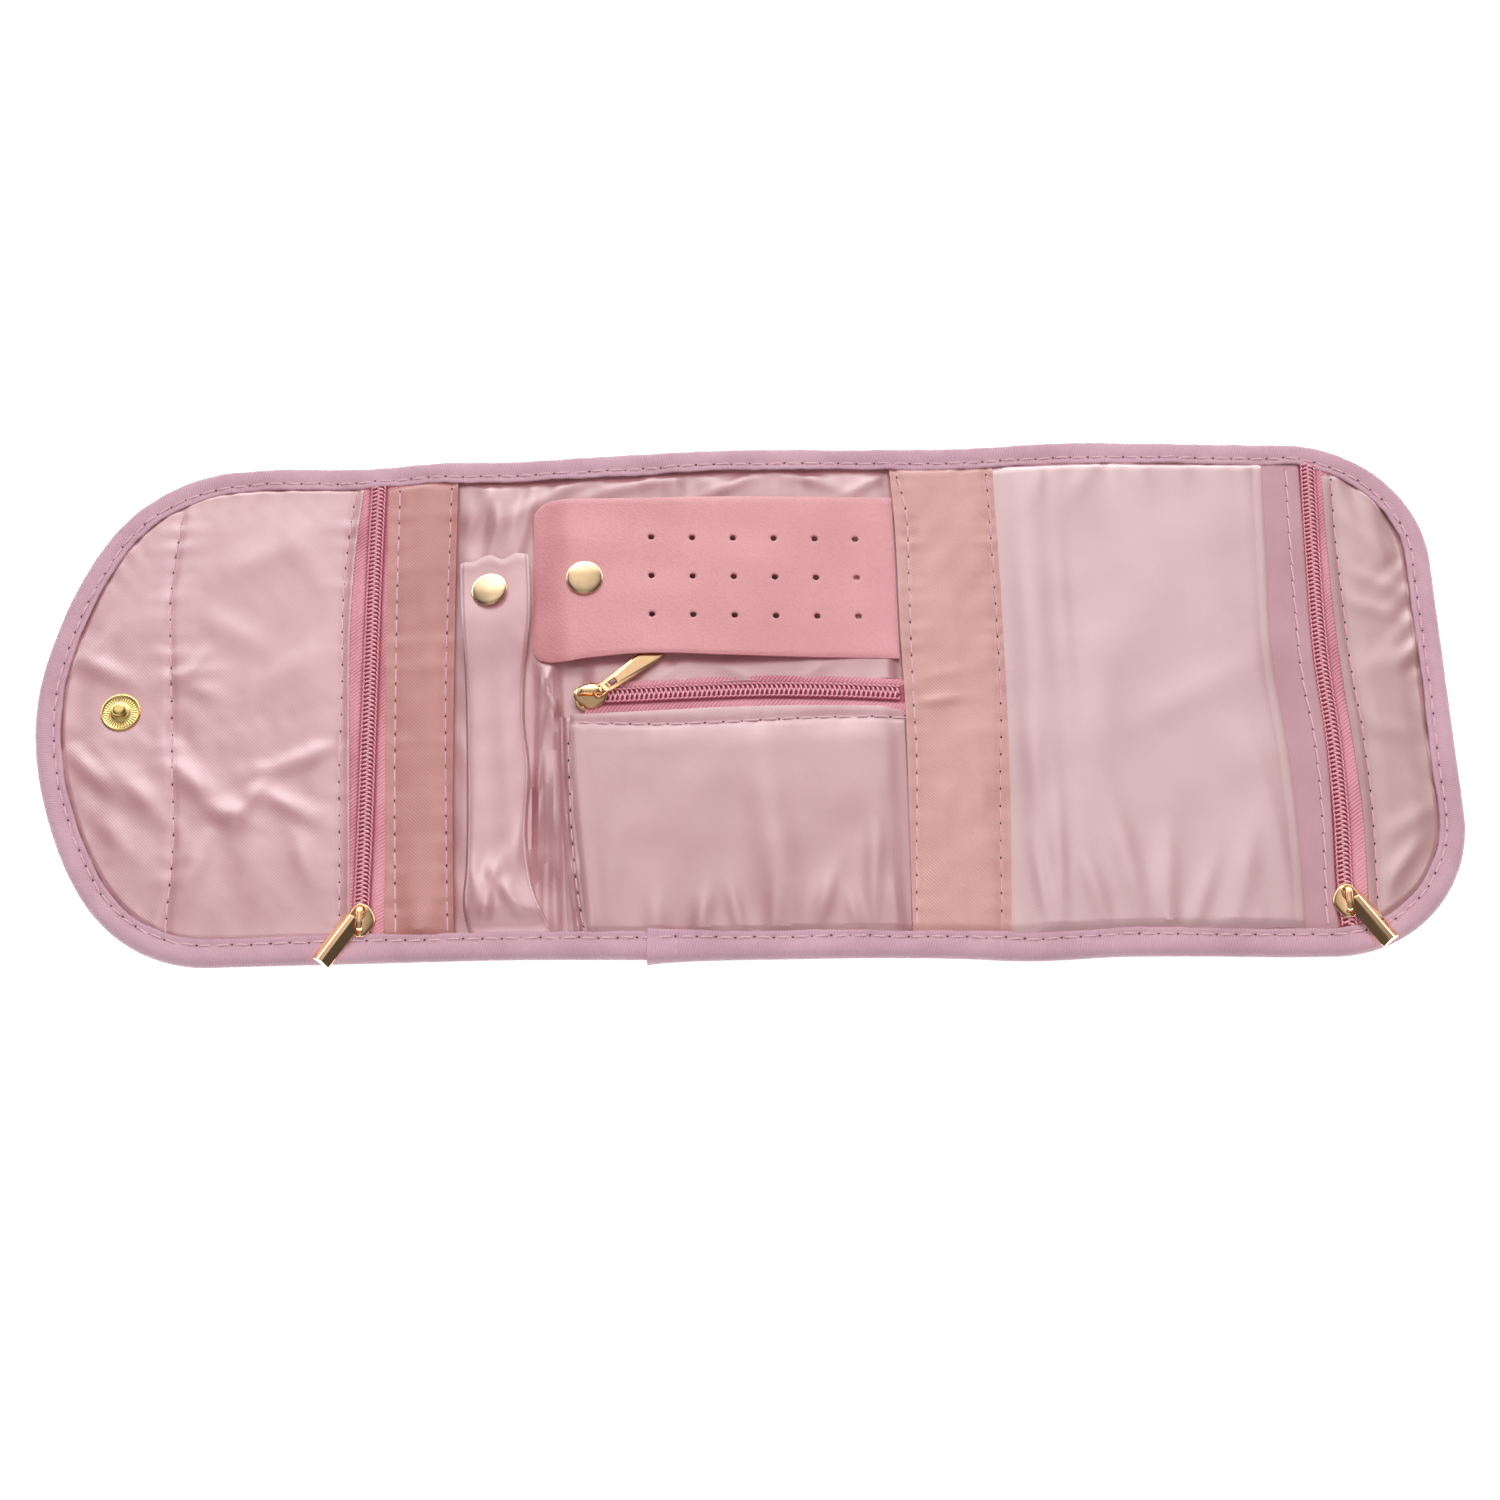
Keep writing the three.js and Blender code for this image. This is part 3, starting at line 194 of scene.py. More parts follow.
def ripple(x, y, size, seed):
    """Smooth noise of about 1: ten sine waves near that wavelength in seeded directions and phases."""
    chance = np.random.default_rng(seed)
    total = np.zeros(np.broadcast(x, y).shape)
    for _ in range(10):
        turn, wave, phase = chance.uniform(0, np.pi), size * chance.uniform(0.7, 1.7), chance.uniform(0, 6.28)
        total = total + np.sin((x * np.cos(turn) + y * np.sin(turn)) * 2 * np.pi / wave + phase)
    return total / 2.3


def gathers(x, y, seed, reach=7, size=6):
    """Small gathers that run in from the bound edge: noise along the edge times exp(-inset / reach)."""
    along = edge_place(x, y)
    fade = np.exp(-np.maximum(inset(x, y) - BINDING_WIDTH, 0) / reach)
    return ripple(along, 0 * along, size, seed) * fade * ease(np.abs(y) / 6)


def ridges(x, y, humps):
    """Soft folds: each is height * exp(-(along / length)^2 - (across / width)^2) about its place, at its
    angle. A hump gives x, y, degrees, length, width and height."""
    total = np.zeros(np.broadcast(x, y).shape)
    for at_x, at_y, degrees, length, width, height in humps:
        c, s = np.cos(np.radians(degrees)), np.sin(np.radians(degrees))
        along, across = (x - at_x) * c + (y - at_y) * s, (y - at_y) * c - (x - at_x) * s
        total = total + height * np.exp(-((along / length) ** 2) - (across / width) ** 2)
    return total


def hump(distance, height=0.45, width=0.9):
    """A soft rise by the distance from its middle: height * exp(-(distance / width)^2). The default is a
    folded edge that stands off the layer below."""
    return height * np.exp(-((distance / width) ** 2))


def groove(distance, depth=0.28, width=1.1):
    """The dip that a row of stitches pulls into padded cloth, by the distance from the row."""
    return hump(distance, -depth, width)


def puckers(along, rows, height, size, seed, reach=3):
    """Puckers beside rows of stitches: noise along them times exp(-distance / reach) of each."""
    near = sum(np.exp(-np.abs(distance) / reach) for distance in rows)
    return height * ripple(along, 0 * along, size, seed) * near


def distance_to(knots, x, y):
    """Distance in x from a line x(y) given by (x, y) knots."""
    return x - through(y, sorted((k[1], k[0]) for k in knots))


def distance_from(place, x, y):
    """Distance from a place."""
    return np.hypot(x - place[0], y - place[1])


def tucked(x, y):
    """1 where a cloth goes under the binding, 0 from TUCK_START in."""
    return ease((TUCK_START - inset(x, y)) / TUCK_REACH)


def smooth_curve(knots, t):
    """Points on the smooth curve through 2-D knots, where t counts the knots from 0."""
    at = np.array(knots, float)
    places = np.arange(len(at))
    return np.stack([through(t, list(zip(places, at[:, k]))) for k in (0, 1)], 1)


# Meshes

def grid_faces(rows, columns, around_rows=False, around_columns=False):
    """The quads of a rows by columns grid of points, closed round on itself where asked."""
    i = np.arange(rows if around_rows else rows - 1)
    j = np.arange(columns if around_columns else columns - 1)
    i, j = (a.ravel() for a in np.meshgrid(i, j, indexing="ij"))
    i2, j2 = (i + 1) % rows, (j + 1) % columns
    return np.stack([i * columns + j, i2 * columns + j, i2 * columns + j2, i * columns + j2], 1)


def ring_faces(one, other):
    """The quads between two closed rings of points, given by the points' numbers."""
    return np.stack([one, np.roll(one, -1), np.roll(other, -1), other], 1)


def border_loop(index):
    """The numbers on the border of a grid, once round."""
    return np.concatenate([index[:-1, 0], index[-1, :-1], index[:0:-1, -1], index[0, :0:-1]])


def on_border(shape):
    """A grid that is true on its border alone."""
    border = np.ones(shape, bool)
    border[1:-1, 1:-1] = False
    return border


def joined(parts):
    """Several (points, quads) parts as one."""
    points, quads, start = [], [], 0
    for p, q in parts:
        points.append(p.reshape(-1, 3))
        quads.append(q + start)
        start += len(points[-1])
    return np.concatenate(points), np.concatenate(quads)


def make(name, points, quads, material, slot, uv=None, merge=True, sharp=40):
    """A Blender mesh object from points in millimetres and quads, smooth but for edges sharper than `sharp`.
    Points that coincide are merged, which closes poles, and the faces are turned outwards."""
    mesh = bpy.data.meshes.new(name)
    mesh.vertices.add(len(points))
    mesh.vertices.foreach_set("co", (points * MM).astype(np.float32).ravel())
    mesh.loops.add(quads.size)
    mesh.loops.foreach_set("vertex_index", quads.astype(np.int32).ravel())
    mesh.polygons.add(len(quads))
    mesh.polygons.foreach_set("loop_start", np.arange(0, quads.size, 4, dtype=np.int32))
    if uv is not None:
        mesh.uv_layers.new(name="Cloth").data.foreach_set("uv", uv[quads.ravel()].astype(np.float32).ravel())
    mesh.update(calc_edges=True)
    if merge:
        shape = bmesh.new()
        shape.from_mesh(mesh)
        bmesh.ops.remove_doubles(shape, verts=shape.verts, dist=2e-6)
        bmesh.ops.dissolve_degenerate(shape, edges=shape.edges, dist=1e-7)
        bmesh.ops.recalc_face_normals(shape, faces=shape.faces)
        shape.to_mesh(mesh)
        shape.free()
    mesh.validate()
    mesh.polygons.foreach_set("use_smooth", np.ones(len(mesh.polygons), bool))
    mesh.set_sharp_from_angle(angle=np.radians(sharp))
    mesh.materials.append(material)
    piece = bpy.data.objects.new(name, mesh)
    bpy.context.scene.collection.objects.link(piece)
    return piece


FOLDS = {
    "flap_fold": ("flap", "left_spine", FLAP_FOLD),
    "left_fold": ("left_spine", "center", LEFT_FOLD),
    "right_fold": ("center", "right_spine", RIGHT_FOLD),
    "panel_fold": ("right_spine", "right_panel", PANEL_FOLD),
}


def follow(piece, place):
    """A piece rides on a body, or, at a fold, keeps its place with its transform baked into its mesh."""
    if place in FOLDS:
        left, right, x = FOLDS[place]
        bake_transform(piece)
    else:
        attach(piece, place)
    return piece


def slab(name, x, y, top, thick, material, slot, flat=None, merge=False):
    """A closed layer of cloth over a grid: the top, the same grid lower down, and walls round the border.
    The border's points lie a little inside the thickness, so the cut edge looks rolled. The UV map is `flat`,
    the grid's own x and y where it isn't given."""
    rows, columns = x.shape
    low = top - thick
    border = on_border(x.shape)
    top = np.where(border, top - 0.3 * thick, top)
    low = np.where(border, low + 0.3 * thick, low)
    xs, ys = sewn(x, y)
    points = np.concatenate([np.stack([xs, ys, z], -1).reshape(-1, 3) for z in (top, low)])
    down = rows * columns
    rim = border_loop(np.arange(down).reshape(rows, columns))
    walls = ring_faces(rim, rim + down)[:, [0, 3, 2, 1]]
    faces = grid_faces(rows, columns)
    quads = np.concatenate([faces, faces[:, ::-1] + down, walls])
    uv = np.stack(flat or (x, y), -1).reshape(-1, 2) / UV_UNIT
    return make(name, points, quads, material, slot, uv=np.concatenate([uv, uv]), merge=merge)


def flat_size(x, y):
    """The width and depth in metres of a grid of points lying flat."""
    return float(np.ptp(x)) * MM, float(np.ptp(y)) * MM


def flat_area(x, y):
    """The area in square metres of a grid of points lying flat, by the cross products of its cells."""
    ax, ay = x[1:, 1:] - x[:-1, :-1], y[1:, 1:] - y[:-1, :-1]
    bx, by = x[1:, :-1] - x[:-1, 1:], y[1:, :-1] - y[:-1, 1:]
    return float(np.abs(ax * by - ay * bx).sum() / 2) * MM * MM


def held_down(x, y, top):
    """The top of a cloth under the binding: no higher than the lip, then 1.3 mm more for each mm inwards."""
    ceiling = LIP_UNDERSIDE + 1.3 * np.maximum(inset(x, y) - BINDING_WIDTH, 0)
    return np.minimum(top, ceiling) - 0.1 * np.exp(-np.abs(ceiling - top) / 0.15)


def cloth(name, x, y, top, place, material, slot, stands_for, thick=0.4):
    """A sewn-in layer of cloth: a slab over the grid (x, y) with that top height, in place of the CAD nodes
    it stands for.
    """
    piece = slab(name, x, y, held_down(x, y, top), thick, material, slot)
    follow(piece, place)
    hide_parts(*stands_for)
    size = flat_size(x, y)
    if min(size) > LEAST_SHEET_SIDE:
        flat_area(x, y)
    return piece


def unit_grid(rows, columns):
    """Two grids of places from 0 to 1, along the rows and along the columns."""
    return np.meshgrid(np.linspace(0, 1, rows), np.linspace(0, 1, columns), indexing="ij")


def spread(x0, x1, rows):
    """Rows of places from x0 to x1."""
    return x0 + (x1 - x0) * np.linspace(0, 1, rows)[:, None]


def sheet_grid(x0, x1, y0, y1, step):
    """A rectangular grid of points about a step apart."""
    rows, columns = (int(np.ceil(abs(length) / step)) + 2 for length in (x1 - x0, y1 - y0))
    u, v = unit_grid(rows, columns)
    return x0 + (x1 - x0) * u, y0 + (y1 - y0) * v


def between(left, right, y0, y1, step):
    """A grid whose left and right borders are smooth curves x(y) through knots."""
    mean = abs(np.mean([k[1] for k in right]) - np.mean([k[1] for k in left]))
    u, v = unit_grid(int(mean / step) + 3, int((y1 - y0) / step) + 3)
    y = y0 + (y1 - y0) * v
    x0, x1 = through(y, left), through(y, right)
    return x0 + (x1 - x0) * u, y


def crowded(columns):
    """Places from -1 to 1 that lie closer together towards both ends: 1.5w - 0.5w^3."""
    w = np.linspace(-1, 1, columns)
    return 1.5 * w - 0.5 * w**3


def flap_grid(edge, x_end, step):
    """The round-ended grid, `edge` in from the outline: rows of constant y from the half ellipse to x_end."""
    rows, columns = int((x_end - LEFT_END) / step), int(2 * HALF_DEPTH / step)
    u, t = np.meshgrid(np.linspace(0, 1, rows), crowded(columns), indexing="ij")
    left = FLAP_CENTRE - (FLAP_ROUND - edge) * np.sqrt(np.maximum(1 - t * t, 0))
    return left + (x_end - left) * u, (HALF_DEPTH - edge) * t


def end_grid(x_start, edge, step):
    """The grid with two round corners, `edge` in from the outline: rows of constant y from x_start on."""
    rows, columns = int((RIGHT_END - x_start) / step), int(2 * HALF_DEPTH / step)
    u, t = np.meshgrid(np.linspace(0, 1, rows), crowded(columns), indexing="ij")
    y = (HALF_DEPTH - edge) * t
    radius = CORNER - edge
    up = np.clip(np.abs(y) - (HALF_DEPTH - CORNER), 0, radius)
    right = CORNER_CENTRE + np.sqrt(np.maximum(radius**2 - up**2, 0))
    return x_start + (right - x_start) * u, y


# Materials

class Nodes:
    """The node tree of a material or the world, with a short way to add a node and link it."""

    def __init__(self, owner):
        owner.use_nodes = True
        self.owner = owner
        self.tree = owner.node_tree
        self.shader = self.tree.nodes.get("Principled BSDF")

    def add(self, kind, settings=None, **inputs):
        node = self.tree.nodes.new(kind)
        for key, value in (settings or {}).items():
            setattr(node, key, value)
        for key, value in inputs.items():
            self.put(node, key.replace("_", " "), value)
        return node

    def put(self, node, key, value):
        socket = node.inputs[int(key)] if key.isdigit() else node.inputs[key]
        if isinstance(value, bpy.types.NodeSocket):
            self.tree.links.new(value, socket)
        else:
            socket.default_value = value

    def set(self, **inputs):
        for key, value in inputs.items():
            self.put(self.shader, key.replace("_", " "), value)

    def mix(self, factor, first, second):
        node = self.add("ShaderNodeMix", {"data_type": "RGBA"})
        for place, value in ((0, factor), (6, first), (7, second)):
            self.put(node, str(place), value)
        return node.outputs[2]

    def math(self, operation, first, second=0.0):
        node = self.add("ShaderNodeMath", {"operation": operation})
        self.put(node, "0", first)
        self.put(node, "1", second)
        return node.outputs[0]

    def span(self, value, low, high, to_low=0.0, to_high=1.0):
        node = self.add("ShaderNodeMapRange")
        for place, number in enumerate((value, low, high, to_low, to_high)):
            self.put(node, str(place), number)
        return node.outputs[0]


def linear(colour):
    """An sRGB colour, 0 to 255, as linear RGBA."""
    c = np.array(colour) / 255
    c = np.where(c <= 0.04045, c / 12.92, ((c + 0.055) / 1.055) ** 2.4)
    return (*c, 1)


def woven(name, colour, shade, pitch, degrees, relief, roughness, sheen=0.0, specular=0.5, grain=0.0,
          gloss=1.5, twill=0.3, painted_shade_reach=None):
    """Woven cloth on its own UV map: twill lines of that pitch and angle as colour and bump, slubs along
    them, and slow drifts of colour between `colour` and `shade`. Given the last argument, the cloth has the
    shade's colour up to that distance across: painted shade on a zip's tape beside its coil."""
    n = Nodes(bpy.data.materials.new(name))
    place = n.add("ShaderNodeUVMap", {"uv_map": "Cloth"}).outputs[0]
    turned = n.add("ShaderNodeMapping", Vector=place, Rotation=(0, 0, np.radians(degrees))).outputs[0]
    # A wave texture of scale 1 has a wave each 0.31416 units
    scale = UV_UNIT / pitch * 0.31416
    lines = n.add("ShaderNodeTexWave", Vector=turned, Scale=scale, Distortion=0.6, Detail=1.0,
                  Detail_Scale=2.0)
    long = n.add("ShaderNodeMapping", Vector=turned, Scale=(170.0, 26.0, 1.0)).outputs[0]
    slub = n.add("ShaderNodeTexNoise", Vector=long, Scale=1.0, Detail=2.0).outputs[0]
    drift = n.add("ShaderNodeTexNoise", Vector=place, Scale=4.5, Detail=2.0).outputs[0]
    fleck = n.add("ShaderNodeTexNoise", Vector=place, Scale=160.0, Detail=1.0).outputs[0]
    tone = n.math("ADD", n.math("MULTIPLY", n.span(drift, 0.35, 0.65), 0.55), n.math("MULTIPLY", slub, 0.3))
    tone = n.math("ADD", tone, n.math("MULTIPLY", lines.outputs[1], twill))
    # Painted shade: within that distance of the middle of the UV map the tone falls to the shade colour
    if painted_shade_reach:
        off = n.math("ABSOLUTE", n.add("ShaderNodeSeparateXYZ", Vector=place).outputs[1])
        tone = n.math("MULTIPLY", tone, n.span(off, painted_shade_reach / UV_UNIT, (painted_shade_reach + 0.7) / UV_UNIT))
    n.set(Base_Color=n.mix(tone, linear(shade), linear(colour)))
    height = n.math("ADD", lines.outputs[1], n.math("MULTIPLY", slub, 0.2))
    height = n.math("ADD", height, n.math("MULTIPLY", fleck, grain))
    bump = n.add("ShaderNodeBump", Strength=1.0, Distance=relief * MM, Height=height)
    rough = n.span(n.math("ADD", n.math("MULTIPLY", fleck, 0.6), n.math("MULTIPLY", slub, 0.4)), 0.2, 0.8,
                   roughness - 0.015, roughness + 0.06)
    n.set(Roughness=rough, Normal=bump.outputs[0], Specular_IOR_Level=specular, Sheen_Weight=sheen,
          Sheen_Roughness=0.4, IOR=gloss)
    return n.owner


def leather_look(name, colour, shade):
    """Leather-look sheet: pebbled cells with creases between them, and a slow drift of tone."""
    n = Nodes(bpy.data.materials.new(name))
    place = n.add("ShaderNodeTexCoord").outputs["Object"]
    cells = n.add("ShaderNodeTexVoronoi", {"feature": "SMOOTH_F1"}, Vector=place, Scale=1500.0,
                  Smoothness=0.6).outputs[0]
    pores = n.add("ShaderNodeTexNoise", Vector=place, Scale=2600.0, Detail=3.0).outputs[0]
    drift = n.add("ShaderNodeTexNoise", Vector=place, Scale=45.0, Detail=3.0).outputs[0]
    tone = n.math("ADD", n.math("MULTIPLY", drift, 0.8), n.math("MULTIPLY", cells, 0.25))
    n.set(Base_Color=n.mix(n.span(tone, 0.35, 0.75), linear(colour), linear(shade)))
    bump = n.add("ShaderNodeBump", Strength=0.7, Distance=0.00008,
                 Height=n.math("ADD", cells, n.math("MULTIPLY", pores, 0.5)))
    n.set(Roughness=n.span(pores, 0.3, 0.7, 0.4, 0.52), Normal=bump.outputs[0], IOR=2.3)
    return n.owner


def gold(name, colour, roughness):
    """Plated metal: polished, with a slow waviness of the polish and slightly uneven roughness. The colour is
    linear RGBA."""
    n = Nodes(bpy.data.materials.new(name))
    place = n.add("ShaderNodeTexCoord").outputs["Object"]
    cloud = n.add("ShaderNodeTexNoise", Vector=place, Scale=420.0, Detail=2.0).outputs[0]
    worn = tuple(c * 0.9 for c in colour[:3]) + (1,)
    bump = n.add("ShaderNodeBump", Strength=0.1, Distance=0.00003, Height=cloud)
    n.set(Base_Color=n.mix(n.span(cloud, 0.3, 0.7), colour, worn), Metallic=1.0, Normal=bump.outputs[0],
          Roughness=n.span(cloud, 0.3, 0.7, roughness, roughness + 0.06))
    return n.owner


def thread(name, colour, dark):
    """Sewing thread: plied along its length, with painted shade where it goes down into the needle holes: its
    ends take the dark colour, as do the holes' beads. U runs from 0 to 1 along each stitch."""
    n = Nodes(bpy.data.materials.new(name))
    place = n.add("ShaderNodeUVMap", {"uv_map": "Cloth"}).outputs[0]
    parts = n.add("ShaderNodeSeparateXYZ", Vector=place)
    # Painted shade: near its ends the thread takes the dark colour
    ends = n.span(n.math("ABSOLUTE", n.math("SUBTRACT", parts.outputs[0], 0.5)), 0.44, 0.49)
    ply = n.add("ShaderNodeTexWave", Vector=place, Scale=2.2, Distortion=0.5)
    base = n.mix(n.math("MULTIPLY", ply.outputs[1], 0.14), linear(colour), linear(dark))
    bump = n.add("ShaderNodeBump", Strength=0.6, Distance=0.00008, Height=ply.outputs[1])
    n.set(Base_Color=n.mix(ends, base, linear(dark)), Roughness=0.55, Sheen_Weight=0.2,
          Normal=bump.outputs[0])
    return n.owner


def nylon(name, colour, shade):
    """Zip coil: smooth nylon, with painted shade low between the turns, where the colour goes to `shade`."""
    n = Nodes(bpy.data.materials.new(name))
    place = n.add("ShaderNodeTexCoord").outputs["Object"]
    up = n.add("ShaderNodeSeparateXYZ", Vector=place).outputs[2]
    cloud = n.add("ShaderNodeTexNoise", Vector=place, Scale=900.0, Detail=2.0).outputs[0]
    bump = n.add("ShaderNodeBump", Strength=0.2, Distance=0.00003, Height=cloud)
    # Painted shade: the shade colour low on the coil, the full colour higher up
    tone = n.span(up, (TAPE_TOP + 0.75) * MM, (TAPE_TOP + 1.2) * MM)
    tone = n.math("ADD", tone, n.math("MULTIPLY", cloud, 0.1))
    n.set(Base_Color=n.mix(tone, linear(shade), linear(colour)), Roughness=0.34, Normal=bump.outputs[0],
          Specular_IOR_Level=0.7)
    return n.owner


def satin(name, colour, shade, twill=0.25, roughness=0.3):
    """Glossy satin, of the lining, facings and pockets."""
    return woven(name, colour, shade, 0.7, -42, 0.015, roughness, sheen=0.05, grain=0.35, gloss=2.8,
                 twill=twill)


def band_satin(name, colour, shade, gloss):
    """Duller satin, of the fold bands."""
    return woven(name, colour, shade, 0.7, -42, 0.025, 0.4, sheen=0.1, grain=1.0, gloss=gloss, twill=0.35)


SATIN = satin("satin", (208, 152, 157), (188, 128, 134))
# The lining's satin: a darker copy of the satin, painted shade for the lining lying low under and between the
# pieces over it
SHADED_LINING_SATIN = satin("shaded_lining_satin", (198, 138, 142), (168, 104, 109))
POCKET_SATIN = satin("pocket_satin", (194, 137, 141), (174, 115, 120), twill=0.2)
SLIP_SATIN = satin("slip_satin", (204, 159, 162), (188, 139, 143), twill=0.2)
# The right end's satin: a darker copy of the satin, painted shade for the dimmer light at that end
SHADED_END_SATIN = satin("shaded_end_satin", (190, 140, 140), (172, 118, 119), roughness=0.32)
LEFT_BAND = band_satin("left_band_satin", (190, 124, 118), (172, 104, 98), 2.1)
RIGHT_BAND = band_satin("right_band_satin", (204, 146, 138), (186, 124, 117), 2.3)
BINDING = woven("binding_twill", (222, 178, 193), (194, 148, 164), 0.7, -14, 0.06, 0.55, sheen=0.3,
                specular=0.45, grain=0.8, twill=0.5)
TRIM = woven("trim_tape", (206, 160, 169), (188, 140, 150), 0.55, 4, 0.03, 0.42, sheen=0.15, grain=0.6)
COVER = woven("cover_twill", (206, 162, 172), (188, 142, 152), 0.7, 45, 0.05, 0.6, sheen=0.3, grain=0.6)
# Zip tape: its darker strip beside the coil is painted shade
TAPE = woven("zip_tape", (240, 168, 180), (176, 90, 106), 0.9, 35, 0.12, 0.55, sheen=0.2, grain=1.2,
             twill=0.6, painted_shade_reach=2.2)
WADDING = woven("wadding", (240, 237, 233), (228, 224, 220), 2.5, 20, 0.2, 0.9, grain=1.5)
# The coil's second colour is painted shade between its turns
COIL = nylon("zip_coil", (250, 180, 194), (186, 70, 94))
LEATHER = leather_look("leather_look", (216, 140, 146), (200, 122, 129))
THREAD = thread("thread", (246, 206, 214), (92, 44, 50))
# Thread of the rows that lie in shade: its colour and needle holes darker, as painted shade
SHADED_THREAD = thread("shaded_thread", (238, 188, 196), (60, 24, 30))
ROSE_GOLD = gold("rose_gold", (0.94, 0.6, 0.33, 1), 0.06)
BRASS = gold("brass", (1.0, 0.72, 0.28, 1), 0.16)
CAP_GOLD = gold("cap_gold", (0.9, 0.63, 0.38, 1), 0.13)


# Cover, padding and lining: four pieces each, one over every fold

def cover_height(x, y):
    """The outside of the pouch lies flat and rises a little towards the bound edge."""
    return COVER_TOP + 0.05 * ease((14 - inset(x, y)) / 10) + 0 * x


def padding_height(x, y):
    """Wadding, thinner at the edge, a little uneven."""
    return PADDING_TOP - 0.5 * ease((6 - inset(x, y)) / 4) + 0.06 * ripple(x, y, 20, 5)


LINING_FOLDS = (
    (-54.3, -30, 88, 34, 1.5, 1.9), (-50.9, -24, 91, 38, 1.4, 1.5), (-52.6, 4, 104, 12, 1.8, 1.2),
    (-56.4, -34, 90, 34, 1.4, -0.5), (-68, 50, 84, 10, 2.0, 0.8),
    (-66, 57, 100, 12, 3.0, 1.2), (-60, 52, 78, 16, 2.2, 1.0), (-72, 60, 60, 9, 2.4, 0.9),
    (-52, 64, 30, 12, 2.6, 0.8), (-30, 66, 12, 14, 2.0, 0.7), (-2, 65, 24, 9, 1.8, 0.7),
    (22, 66, 160, 8, 1.8, 0.6), (36, 65, 30, 8, 1.6, 0.6), (-20, 8, 40, 7, 1.6, 0.7),
    (0, 7, 150, 7, 1.4, 0.7), (20, 8, 30, 9, 1.4, 0.5), (-50, 12, 60, 10, 2.0, 0.8),
)


def lining_height(x, y):
    """The satin lining: low where other pieces are sewn over it, fuller and folded where it shows."""
    left = ease((x + 78) / 4) * ease((43 - x) / 4)
    beside_pocket = np.maximum(ease((-47.5 - x) / 3), ease((y - 8.5) / 3))
    shows = left * beside_pocket
    full = 0.55 + ridges(x, y, LINING_FOLDS) + 0.12 * ripple(x, y, 14, 8) + 0.3 * gathers(x, y, 9)
    low = ease((9.5 - inset(x, y)) / 3.5)
    by_zip = ease((y - 4.4) / 1.0) * ease((20 - y) / 9) * ease((x + 44) / 5) * left
    folded = 1.45 + 0.1 * ripple(x, y, 13, 10) + 0.4 * ridges(x, y, LINING_FOLDS)
    soft = full * (1 - low) + 0.3 * low
    return LINING_TOP - 0.1 + shows * soft * (1 - by_zip) + folded * by_zip


def strips(name, height, thick, material, slot, edge, step):
    """One layer of the pouch as four pieces, each placed at one fold."""
    low, high = -(HALF_DEPTH - edge), HALF_DEPTH - edge
    nodes = [f"{section}_{name}" for section in SECTIONS]
    for part, (x, y), fold, stands_for in (
        ("flap", flap_grid(edge, LEFT_SEAM, step), "flap_fold", nodes[:2]),
        ("left", sheet_grid(LEFT_SEAM, CENTER_SEAM, low, high, step), "left_fold", nodes[2:3]),
        ("center", sheet_grid(CENTER_SEAM, RIGHT_SEAM, low, high, step), "right_fold", nodes[3:4]),
        ("right", end_grid(RIGHT_SEAM, edge, step), "panel_fold", nodes[4:]),
    ):
        piece = slab(f"{name}_{part}", x, y, height(x, y), thick, material, slot)
        follow(piece, fold)
        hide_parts(*stands_for)
        yield piece, x, y


SECTIONS = ("flap", "left_spine", "center", "right_spine", "right_panel")
for piece, x, y in strips("cover", cover_height, COVER_TOP, COVER, "cover_twill", 1.6, 2.4):
    flat_size(x, y)
    flat_area(x, y)
for piece, x, y in strips("padding", padding_height, 1.7, WADDING, "padding", 2.2, 3.0):
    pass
for piece, x, y in strips("lining", lining_height, 0.3, SHADED_LINING_SATIN, "satin", 3.2, 1.0):
    flat_size(x, y)
    flat_area(x, y)


# Rows of stitches

THREAD_RINGS = np.array([-1, -0.96, -0.8, -0.45, 0, 0.45, 0.8, 0.96, 1])
HOLE_RINGS = np.array([-1, -0.8, -0.3, 0.3, 0.8, 1])
RING_SIDES = 6


def spaced(knots):
    """Places a stitch pitch apart along the smooth curve through the knots."""
    path = smooth_curve(knots, np.linspace(0, 1, 400) * (len(knots) - 1))
    length = np.concatenate([[0], np.cumsum(np.linalg.norm(np.diff(path, axis=0), axis=1))])
    wanted = np.arange(STITCH_PITCH / 2, length[-1], STITCH_PITCH)
    return np.stack([np.interp(wanted, length, path[:, k]) for k in (0, 1)], 1)


